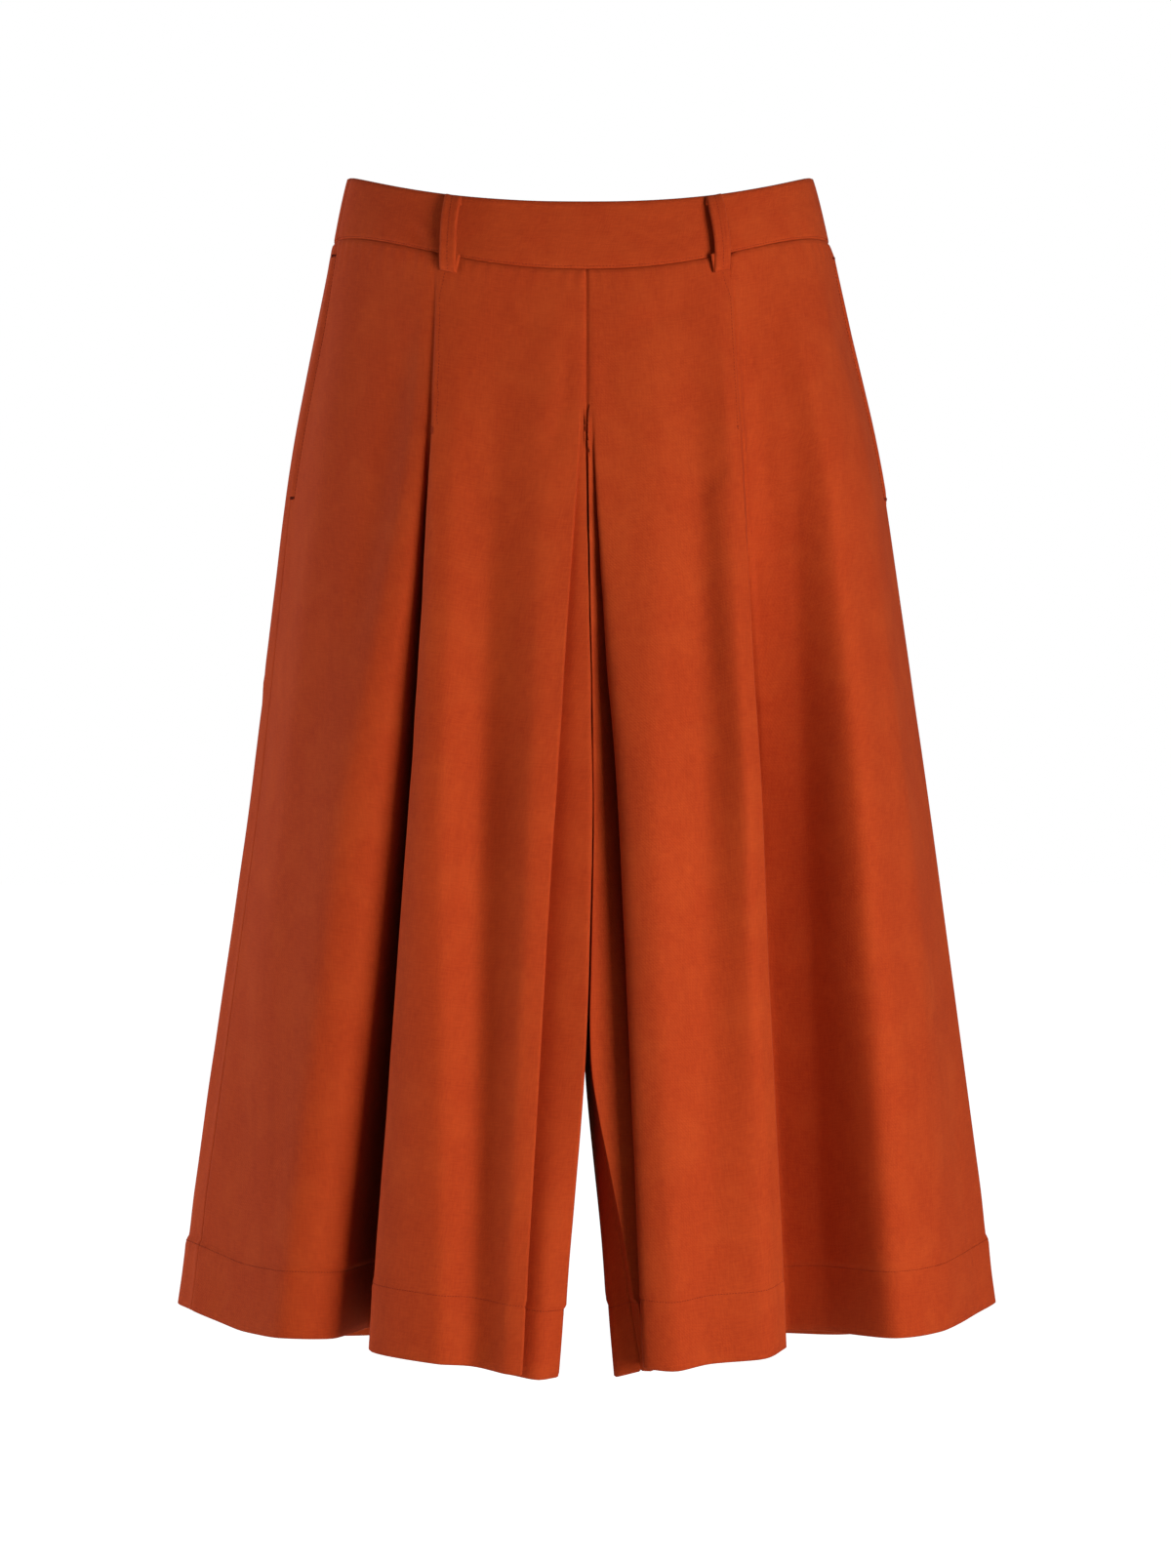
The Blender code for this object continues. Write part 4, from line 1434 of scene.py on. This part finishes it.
@dataclass
class BeltLoop:
    """A belt loop: a strap folded under at both ends and tacked down there."""

    name: str
    x_top: float
    x_foot: float
    face: Face
    return_side: float
    width: float = 10.3
    layers: float = 1.6
    bow: float = 5.0
    gap: float = 0.4
    foot: float = 11.0
    top: float = 0.6
    roundness: float = 0.6
    side_ridge: float = 0.22
    side_fall: float = 0.45
    waver: float = 0.18
    strap_share: float = 0.8
    tuck_share: float = 0.86
    tuck_layer: float = 0.5
    steps: int = 44
    columns: int = 10
    middle: np.ndarray = field(default=None, repr=False)
    across: np.ndarray = field(default=None, repr=False)
    outwards: np.ndarray = field(default=None, repr=False)

    def lay_out(self, panel: Panel) -> None:
        """Finds the strap's path over the band and the top of the panel.

        Args:
            panel: The panel that it is tacked to.
        """
        front = self.face is Face.FRONT
        start = BAND_TOP.point(BAND_SEAM.turn(self.x_top, front))
        seam = BAND_SEAM.point(BAND_SEAM.turn(self.x_foot, front))
        beside = BAND_SEAM.point(BAND_SEAM.turn(self.x_foot, front) + SMALL_TURN)
        slope = unit(seam - start)
        band_length = float(np.linalg.norm(seam - start))
        column = int(np.argmin(np.abs(panel.points[0, :, 0] - self.x_foot)))
        foot_slope = unit(panel.points[LOOP_FOOT_ROW, column] - panel.points[0, column])
        self.across = unit(beside - seam)
        facing = unit(np.cross(self.across, slope))
        facing *= math.copysign(1.0, float(np.dot(facing, (seam[0], seam[1], 0.0))))
        self.outwards = facing
        points = []
        for share in np.linspace(0.0, 1.0, self.steps + 1):
            bow = self.bow * math.sin(math.pi * share) ** self.roundness
            down = self.top + (band_length + self.foot - self.top) * share
            on_band = min(down, band_length)
            point = start + slope * on_band + foot_slope * (down - on_band)
            points.append(point + facing * (self.gap + self.layers + bow))
        self.middle = even_out(np.array(points), 0, 3)

    def strap(self, first: int, last: int, sink: float, shifts: Place, layers: float) -> tuple:
        """Outer grid, inner grid and UV of a stretch of strap.

        Args:
            first: First step of the stretch.
            last: Last step.
            sink: How far it lies under the strap's face.
            shifts: How far its two ends are moved sideways.
            layers: Its thickness.

        Returns:
            The outer grid, the inner grid and the lengths of cloth.
        """
        shares = np.linspace(-1.0, 1.0, self.columns + 1)
        path = self.middle[first : last + 1] - self.outwards * sink
        half = self.width / 2
        sideways = np.linspace(*shifts, len(path))[:, None, None]
        reach = self.across * (shares[None, :, None] * half + sideways)
        outer = path[:, None] + reach
        # Edges turned under leave the strap fuller at its sides than in the middle
        crown = self.side_ridge * bell(np.abs(shares) - 0.72, 0.2)
        crown -= self.side_fall * bell(np.abs(shares) - 1.0, 0.1)
        wave = self.waver * np.sin(arcs(path[:, None], 0) / 5.0 + self.x_top)
        outer = outer + self.outwards * crown[None, :, None] + self.across * wave[..., None]
        inner = outer - self.outwards * layers
        uv = np.stack(np.broadcast_arrays(shares[None] * half, arcs(path[:, None], 0)), axis=-1)
        return outer, inner, uv

    def build(self, finish: Material) -> None:
        """Makes the strap and its folded ends as one piece.

        Args:
            finish: The cloth's material.
        """
        parts = [self.strap(0, self.steps, 0.0, (0.0, 0.0), self.layers * self.strap_share)]
        # The ends turned under slip out sideways, the lower one more
        ends = ((0, 5, (0.3, 1.2)), (self.steps - 10, self.steps, (3.0, 0.3)))
        for first, last, slips in ends:
            shifts = (slips[0] * self.return_side, slips[1] * self.return_side)
            sink = self.layers * self.tuck_share
            parts.append(self.strap(first, last, sink, shifts, self.tuck_layer))
        meshes = [cloth_mesh(f"{self.name}_{place}", *part) for place, part in enumerate(parts)]
        mesh = join_meshes(f"{self.name}_cloth", meshes)
        piece = add_cloth(self.name, mesh, finish)
        LOG.info("%s: %d faces", self.name, len(mesh.polygons))

    def stitch_line(self) -> np.ndarray:
        """The row of stitches down the middle, which closes the strap. Its tacks are under it."""
        return self.middle[1:-1] + self.outwards * STITCH_LIFT


def join_meshes(name: str, meshes: list[Mesh]) -> Mesh:
    """Joins meshes into one.

    Args:
        name: Name of the joined mesh.
        meshes: Meshes with the same UV map.

    Returns:
        The joined mesh, smooth.
    """
    points, faces, spots = [], [], []
    for mesh in meshes:
        start = len(points)
        points.extend(tuple(vertex.co) for vertex in mesh.vertices)
        faces.extend(tuple(start + corner for corner in face.vertices) for face in mesh.polygons)
        spots.extend(tuple(loop.uv) for loop in mesh.uv_layers["cloth_mm"].data)
    joined = bpy.data.meshes.new(name)
    joined.from_pydata(points, [], faces)
    layer = joined.uv_layers.new(name="cloth_mm")
    layer.data.foreach_set("uv", np.array(spots, dtype=np.float32).ravel())
    joined.shade_smooth()
    joined.update()
    return joined


# ---- pockets ----


@dataclass
class Pocket:
    """The bag of an in-seam pocket: flat, inside the front panel, sewn at its round edge."""

    name: str
    depth: float = 300.0
    layers: float = 1.4
    standoff: float = 3.5
    widest: float = 115.0
    inset: float = 4.0
    round_top: float = 0.25
    round_length: float = 0.6
    rows: int = 48
    columns: int = 22

    def build(self, panel: Panel, finish: Material) -> None:
        """Makes the bag inside its panel.

        Args:
            panel: The front panel.
            finish: The cloth's material.
        """
        grid = panel.points
        last_row = np.interp(self.depth, -grid[:, 0, 2], np.arange(len(grid)))
        points, facing, across = [], [], []
        for share in np.linspace(0.0, 1.0, self.rows + 1):
            row = int(share * last_row)
            line = grid[row]
            reach = arcs(line[None], 1)[0]
            width = self.widest * math.sin(math.pi * (self.round_top + self.round_length * share))
            places = np.linspace(self.inset, max(width, self.inset + 6.0), self.columns + 1)
            normal = unit(read_along(places, reach, panel.normals[row]))
            points.append(read_along(places, reach, line) - normal * self.standoff)
            facing.append(normal)
            across.append(places)
        outer = even_out(np.array(points), 0, 3)
        normals = unit(even_out(np.array(facing), 0, 3))
        uv = np.stack((np.array(across), arcs(outer, 0)), axis=-1)
        mesh = cloth_mesh(f"{self.name}_cloth", outer, outer - normals * self.layers, uv)
        piece = add_cloth(self.name, mesh, finish)
        LOG.info("%s: %d faces, %.4f square metres", self.name, len(mesh.polygons), area_of(outer))


# ---- stitching ----


def stitch_tree() -> NodeTree:
    """Geometry nodes that lay one thread after another along curves.

    Returns:
        The tree, with its sizes in metres as named inputs.
    """
    tree = bpy.data.node_groups.new("stitch_rows", "GeometryNodeTree")
    tree.interface.new_socket("Geometry", in_out="INPUT", socket_type="NodeSocketGeometry")
    sizes = (("Pitch", 0.003), ("Length", 0.0022), ("Thickness", 0.0005), ("Wander", 0.1))
    for label, value in sizes:
        socket = tree.interface.new_socket(label, in_out="INPUT", socket_type="NodeSocketFloat")
        socket.default_value = value
    socket = tree.interface.new_socket("Seed", in_out="INPUT", socket_type="NodeSocketInt")
    socket.default_value = SEED
    tree.interface.new_socket("Thread", in_out="INPUT", socket_type="NodeSocketMaterial")
    tree.interface.new_socket("Geometry", in_out="OUTPUT", socket_type="NodeSocketGeometry")
    given = add_node(tree, "NodeGroupInput", {}).outputs
    spots = add_node(
        tree,
        "GeometryNodeCurveToPoints",
        {"mode": "LENGTH"},
        Curve=given["Geometry"],
        Length=given["Pitch"],
    ).outputs
    half_length = scaled(tree, given["Length"], 0.5)
    half_thick = scaled(tree, given["Thickness"], 0.5)
    size = add_node(
        tree, "ShaderNodeCombineXYZ", {}, X=half_length, Y=half_thick, Z=half_thick
    ).outputs["Vector"]
    ball = add_node(tree, "GeometryNodeMeshUVSphere", {}, Segments=6, Rings=4, Radius=1.0)
    thread = add_node(
        tree, "GeometryNodeTransform", {}, Geometry=ball.outputs["Mesh"], Scale=size
    ).outputs["Geometry"]
    wander = add_node(
        tree,
        "FunctionNodeRandomValue",
        {"data_type": "FLOAT_VECTOR"},
        Min=scaled(tree, given["Wander"], -1.0),
        Max=given["Wander"],
        Seed=given["Seed"],
    ).outputs["Value"]
    aimed = add_node(
        tree,
        "ShaderNodeVectorMath",
        {"operation": "ADD"},
        Vector=spots["Tangent"],
        Vector__1=wander,
    ).outputs["Vector"]
    turned = add_node(
        tree, "FunctionNodeAlignRotationToVector", {"axis": "X"}, Vector=aimed
    ).outputs["Rotation"]
    laid = add_node(
        tree,
        "GeometryNodeInstanceOnPoints",
        {},
        Points=spots["Points"],
        Instance=thread,
        Rotation=turned,
    ).outputs["Instances"]
    real = add_node(tree, "GeometryNodeRealizeInstances", {}, Geometry=laid).outputs["Geometry"]
    smooth = add_node(tree, "GeometryNodeSetShadeSmooth", {}, Geometry=real).outputs["Geometry"]
    done = add_node(
        tree, "GeometryNodeSetMaterial", {}, Geometry=smooth, Material=given["Thread"]
    ).outputs["Geometry"]
    add_node(tree, "NodeGroupOutput", {}, Geometry=done)
    return tree


@dataclass(frozen=True)
class Stitching:
    """A set of stitched lines, made as one piece. Sizes are in millimetres of thread."""

    name: str
    pitch: float = 3.0
    length: float = 2.2
    thickness: float = 0.5
    wander: float = 0.09

    def build(self, tree: NodeTree, lines: list[np.ndarray], thread: Material) -> None:
        """Lays stitches along the lines.

        Args:
            tree: The stitch tree.
            lines: Arrays of points in millimetres.
            thread: The thread's material.
        """
        curve = bpy.data.curves.new(f"{self.name}_lines", "CURVE")
        curve.dimensions = "3D"
        for line in lines:
            spline = curve.splines.new("POLY")
            spline.points.add(len(line) - 1)
            flat = np.concatenate((line * MM, np.ones((len(line), 1))), axis=1)
            spline.points.foreach_set("co", flat.astype(np.float32).ravel())
        guide = bpy.data.objects.new(f"{self.name}_lines", curve)
        bpy.context.scene.collection.objects.link(guide)
        step = guide.modifiers.new("stitches", "NODES")
        step.node_group = tree
        values = {
            "Pitch": self.pitch * MM,
            "Length": self.length * MM,
            "Thickness": self.thickness * MM,
            "Wander": self.wander,
            "Seed": SEED,
            "Thread": thread,
        }
        for item in tree.interface.items_tree:
            if item.in_out == "INPUT" and item.name in values:
                step[item.identifier] = values[item.name]
        graph = bpy.context.evaluated_depsgraph_get()
        mesh = bpy.data.meshes.new_from_object(guide.evaluated_get(graph))
        guide.modifiers.remove(step)
        bpy.data.objects.remove(guide)
        mesh.name = self.name
        if not mesh.materials:
            mesh.materials.append(thread)
        add_piece(self.name, mesh, "garment")
        LOG.info("%s: %d lines, %d faces", self.name, len(lines), len(mesh.polygons))


@dataclass
class Needlework:
    """Every stitched line of the culottes."""

    panels: Panels
    band: Waistband
    loops: list[BeltLoop]
    thread: Material

    def build(self) -> None:
        """Sews the waist seam, hems, pockets, pleats and belt loops."""
        tree = stitch_tree()
        fronts = (self.panels.front_right, self.panels.front_left)
        tacks = []
        for panel in fronts:
            tacks += self.pocket_tacks(panel)
            tacks += self.pleat_tack(panel)
        rows = (
            (Stitching("stitches_waist_seam", 2.0, 1.4, 0.35),
             [piece.stitch_line(1.2) for piece in self.band.pieces]),
            (Stitching("stitches_hem", 1.8, 1.25, 0.4),
             [self.hem_line(panel) for panel in self.panels.every()]),
            (Stitching("stitches_pockets", 2.2, 1.6, 0.38),
             [self.pocket_line(panel) for panel in fronts]),
            (Stitching("stitches_pleats", 2.2, 1.6, 0.38),
             [self.pleat_line(panel) for panel in fronts]),
            (Stitching("stitches_belt_loops", 2.0, 1.4, 0.32),
             [loop.stitch_line() for loop in self.loops]),
            (Stitching("bar_tacks", 3.0, 2.2, 0.45, 0.2), tacks),
        )
        for stitching, lines in rows:
            stitching.build(tree, lines, self.thread)

    @staticmethod
    def hem_line(panel: Panel) -> np.ndarray:
        """The blind stitching that holds a turned-up hem."""
        return panel.points[panel.hem_row] + panel.normals[panel.hem_row] * STITCH_LIFT

    @staticmethod
    def pocket_line(panel: Panel) -> np.ndarray:
        """The topstitching behind the edge of a pocket mouth.

        Args:
            panel: A front panel.

        Returns:
            Points of the line.
        """
        z = panel.points[:, 0, 2]
        rows = [row for row in range(len(z)) if POCKET_FOOT < z[row] < POCKET_TOP + 4]
        return np.array([panel.on_cloth(row, POCKET_STITCH, STITCH_LIFT) for row in rows])

    @staticmethod
    def pleat_line(panel: Panel) -> np.ndarray:
        """The stitching that holds a knife pleat shut below the waist.

        Args:
            panel: A front panel.

        Returns:
            Points of the line.
        """
        columns = panel.column_near("pleat edge")
        z = panel.points[:, 0, 2]
        rows = [row for row in range(2, len(z)) if z[row] > PLEAT_TACK_Z]
        spots = (rows, columns[rows] + 2)
        line = panel.points[spots] + panel.normals[spots] * STITCH_LIFT
        return line - np.array((0.3 * panel.side.value, 0.0, 0.0))

    @staticmethod
    def pocket_tacks(panel: Panel) -> list[np.ndarray]:
        """The bar tacks across both ends of a pocket mouth.

        Args:
            panel: A front panel.

        Returns:
            One line a thread.
        """
        z = panel.points[:, 0, 2]
        lines = []
        for height in (POCKET_TOP - 4, POCKET_FOOT + 3):
            row = int(np.argmin(np.abs(z - height)))
            for away in np.linspace(0.8, 7.0, 9):
                spot = panel.on_cloth(row, float(away), TACK_LIFT)
                lines.append(np.array((spot - (0, 0, POCKET_TACK), spot + (0, 0, POCKET_TACK))))
        return lines

    @staticmethod
    def pleat_tack(panel: Panel) -> list[np.ndarray]:
        """The bar tack at the foot of a knife pleat's stitching.

        Args:
            panel: A front panel.

        Returns:
            One line a thread.
        """
        columns = panel.column_near("pleat edge")
        row = int(np.argmin(np.abs(panel.points[:, 0, 2] - PLEAT_TACK_Z)))
        lines = []
        for step in range(-3, 4):
            column = columns[row] + 1
            spot = panel.points[row, column] + panel.normals[row, column] * TACK_LIFT
            spot = spot + (0.0, 0.0, step * 0.7)
            lines.append(np.array((spot - (PLEAT_TACK, 0, 0), spot + (PLEAT_TACK, 0, 0))))
        return lines


# ---- zip end ----


@dataclass
class ZipEnd:
    """Slider and pull tab of the concealed zip. Their solids stay, with a real finish."""

    nodes: tuple[str, ...] = ("zip_slider", "zip_pull")

    def dress(self, finish: Material) -> None:
        """Paints both solids.

        Args:
            finish: The painted metal.
        """
        for name in self.nodes:
            node = frame["nodes"][name]
            for slot in node.material_slots:
                slot.material = finish
            LOG.info("%s: painted", name)


# ---- studio ----


@dataclass
class Studio:
    """White sweep of light, a pale floor, and the camera where the photograph was taken from."""

    distance: float = 3.0
    eye_height: float = -0.386
    side_step: float = -0.0006
    view_height: float = 1.004
    sensor: float = 36.0
    floor_height: float = -1.10
    floor_half: float = 30.0
    surround_light: float = 0.14
    lamp_aim: Spot = (0.0, 0.0, -0.38)

    def build(self) -> None:
        """Makes the camera, the floor and the lights."""
        self.camera()
        self.floor()
        self.world()
        self.lamp("key", (1.45, -2.0, -0.55), 1.1, 55.0)
        self.lamp("fill", (-2.5, 0.2, -0.3), 1.5, 36.0)
        self.lamp("top", (0.2, 0.4, 1.8), 1.6, 4.0)
        self.lamp("rim", (-0.9, 2.0, 0.6), 1.4, 4.0)
        bpy.context.scene.view_settings.view_transform = "Standard"

    def camera(self) -> None:
        """Sets the camera level with the middle of the frame."""
        data = bpy.data.cameras.new("camera")
        data.sensor_width = self.sensor
        data.lens = self.sensor * self.distance / self.view_height
        data.clip_start, data.clip_end = 0.1, 100.0
        camera = bpy.data.objects.new("camera", data)
        camera.location = (self.side_step, -self.distance, self.eye_height)
        camera.rotation_euler = (math.radians(90), 0.0, 0.0)
        bpy.context.scene.collection.objects.link(camera)
        bpy.context.scene.camera = camera

    def floor(self) -> None:
        """Lays a pale floor below the hems."""
        half = self.floor_half
        mesh = bpy.data.meshes.new("floor")
        corners = [(-half, -half), (half, -half), (half, half), (-half, half)]
        mesh.from_pydata([(x, y, self.floor_height) for x, y in corners], [], [(0, 1, 2, 3)])
        material, tree, shader = new_material("pale_floor")
        set_inputs(
            shader,
            Base_Color=linear("#F2F2F2"),
            Roughness=0.9,
            Specular_IOR_Level=0.0,
            Emission_Color=linear("#FFFFFF"),
        )
        # Burnt out to white where it is seen, as a lit sweep is, but weak as a light
        seen = add_node(tree, "ShaderNodeLightPath", {}).outputs["Is Camera Ray"]
        tree.links.new(scaled(tree, seen, 0.95), shader.inputs["Emission Strength"])
        mesh.materials.append(material)
        floor = bpy.data.objects.new("floor", mesh)
        bpy.context.scene.collection.objects.link(floor)

    def world(self) -> None:
        """A white surround, softer as light than it looks."""
        world = bpy.data.worlds.new("studio")
        world.use_nodes = True
        tree = world.node_tree
        tree.nodes.clear()
        seen = add_node(tree, "ShaderNodeBackground", {}, Color=linear("#FFFFFF"), Strength=1.0)
        lit = add_node(
            tree, "ShaderNodeBackground", {}, Color=linear("#FFFFFF"), Strength=self.surround_light
        )
        mix = add_node(
            tree,
            "ShaderNodeMixShader",
            {},
            Fac=add_node(tree, "ShaderNodeLightPath", {}).outputs["Is Camera Ray"],
            Shader=lit.outputs["Background"],
            Shader__1=seen.outputs["Background"],
        )
        add_node(tree, "ShaderNodeOutputWorld", {}, Surface=mix.outputs["Shader"])
        bpy.context.scene.world = world

    def lamp(self, name: str, place: Spot, size: float, power: float) -> None:
        """Adds a soft lamp aimed at the middle of the garment.

        Args:
            name: Name of the lamp.
            place: Where it stands, in metres.
            size: Side of its square, in metres.
            power: Watts.
        """
        data = bpy.data.lights.new(name, "AREA")
        data.size = size
        data.energy = power
        lamp = bpy.data.objects.new(name, data)
        lamp.location = place
        aim = Vector(self.lamp_aim) - Vector(place)
        lamp.rotation_euler = aim.to_track_quat("-Z", "Y").to_euler()
        bpy.context.scene.collection.objects.link(lamp)


def main() -> None:
    """Dresses the culottes and sets up the studio."""
    logging.basicConfig(level=logging.INFO, format="%(name)s: %(message)s")
    Studio().build()
    twill = BrushedTwill().material()
    panels = Panels()
    panels.build(twill)
    band = Waistband()
    band.build(twill)
    loops = [
        BeltLoop("belt_loop_front_right", -87.0, -84.8, Face.FRONT, 1.0),
        BeltLoop("belt_loop_front_left", 84.0, 83.2, Face.FRONT, -1.0),
        BeltLoop("belt_loop_back_right", -70.0, -72.0, Face.BACK, 1.0),
        BeltLoop("belt_loop_back_left", 70.0, 72.0, Face.BACK, -1.0),
    ]
    carriers = (panels.front_right, panels.front_left, panels.back_right, panels.back_left)
    for loop, panel in zip(loops, carriers):
        loop.lay_out(panel)
        loop.build(twill)
    Pocket("pocket_right").build(panels.front_right, twill)
    Pocket("pocket_left").build(panels.front_left, twill)
    Needlework(panels, band, loops, SewingThread().material()).build()
    ZipEnd().dress(PaintedZinc().material())


if __name__ == "__main__":
    main()
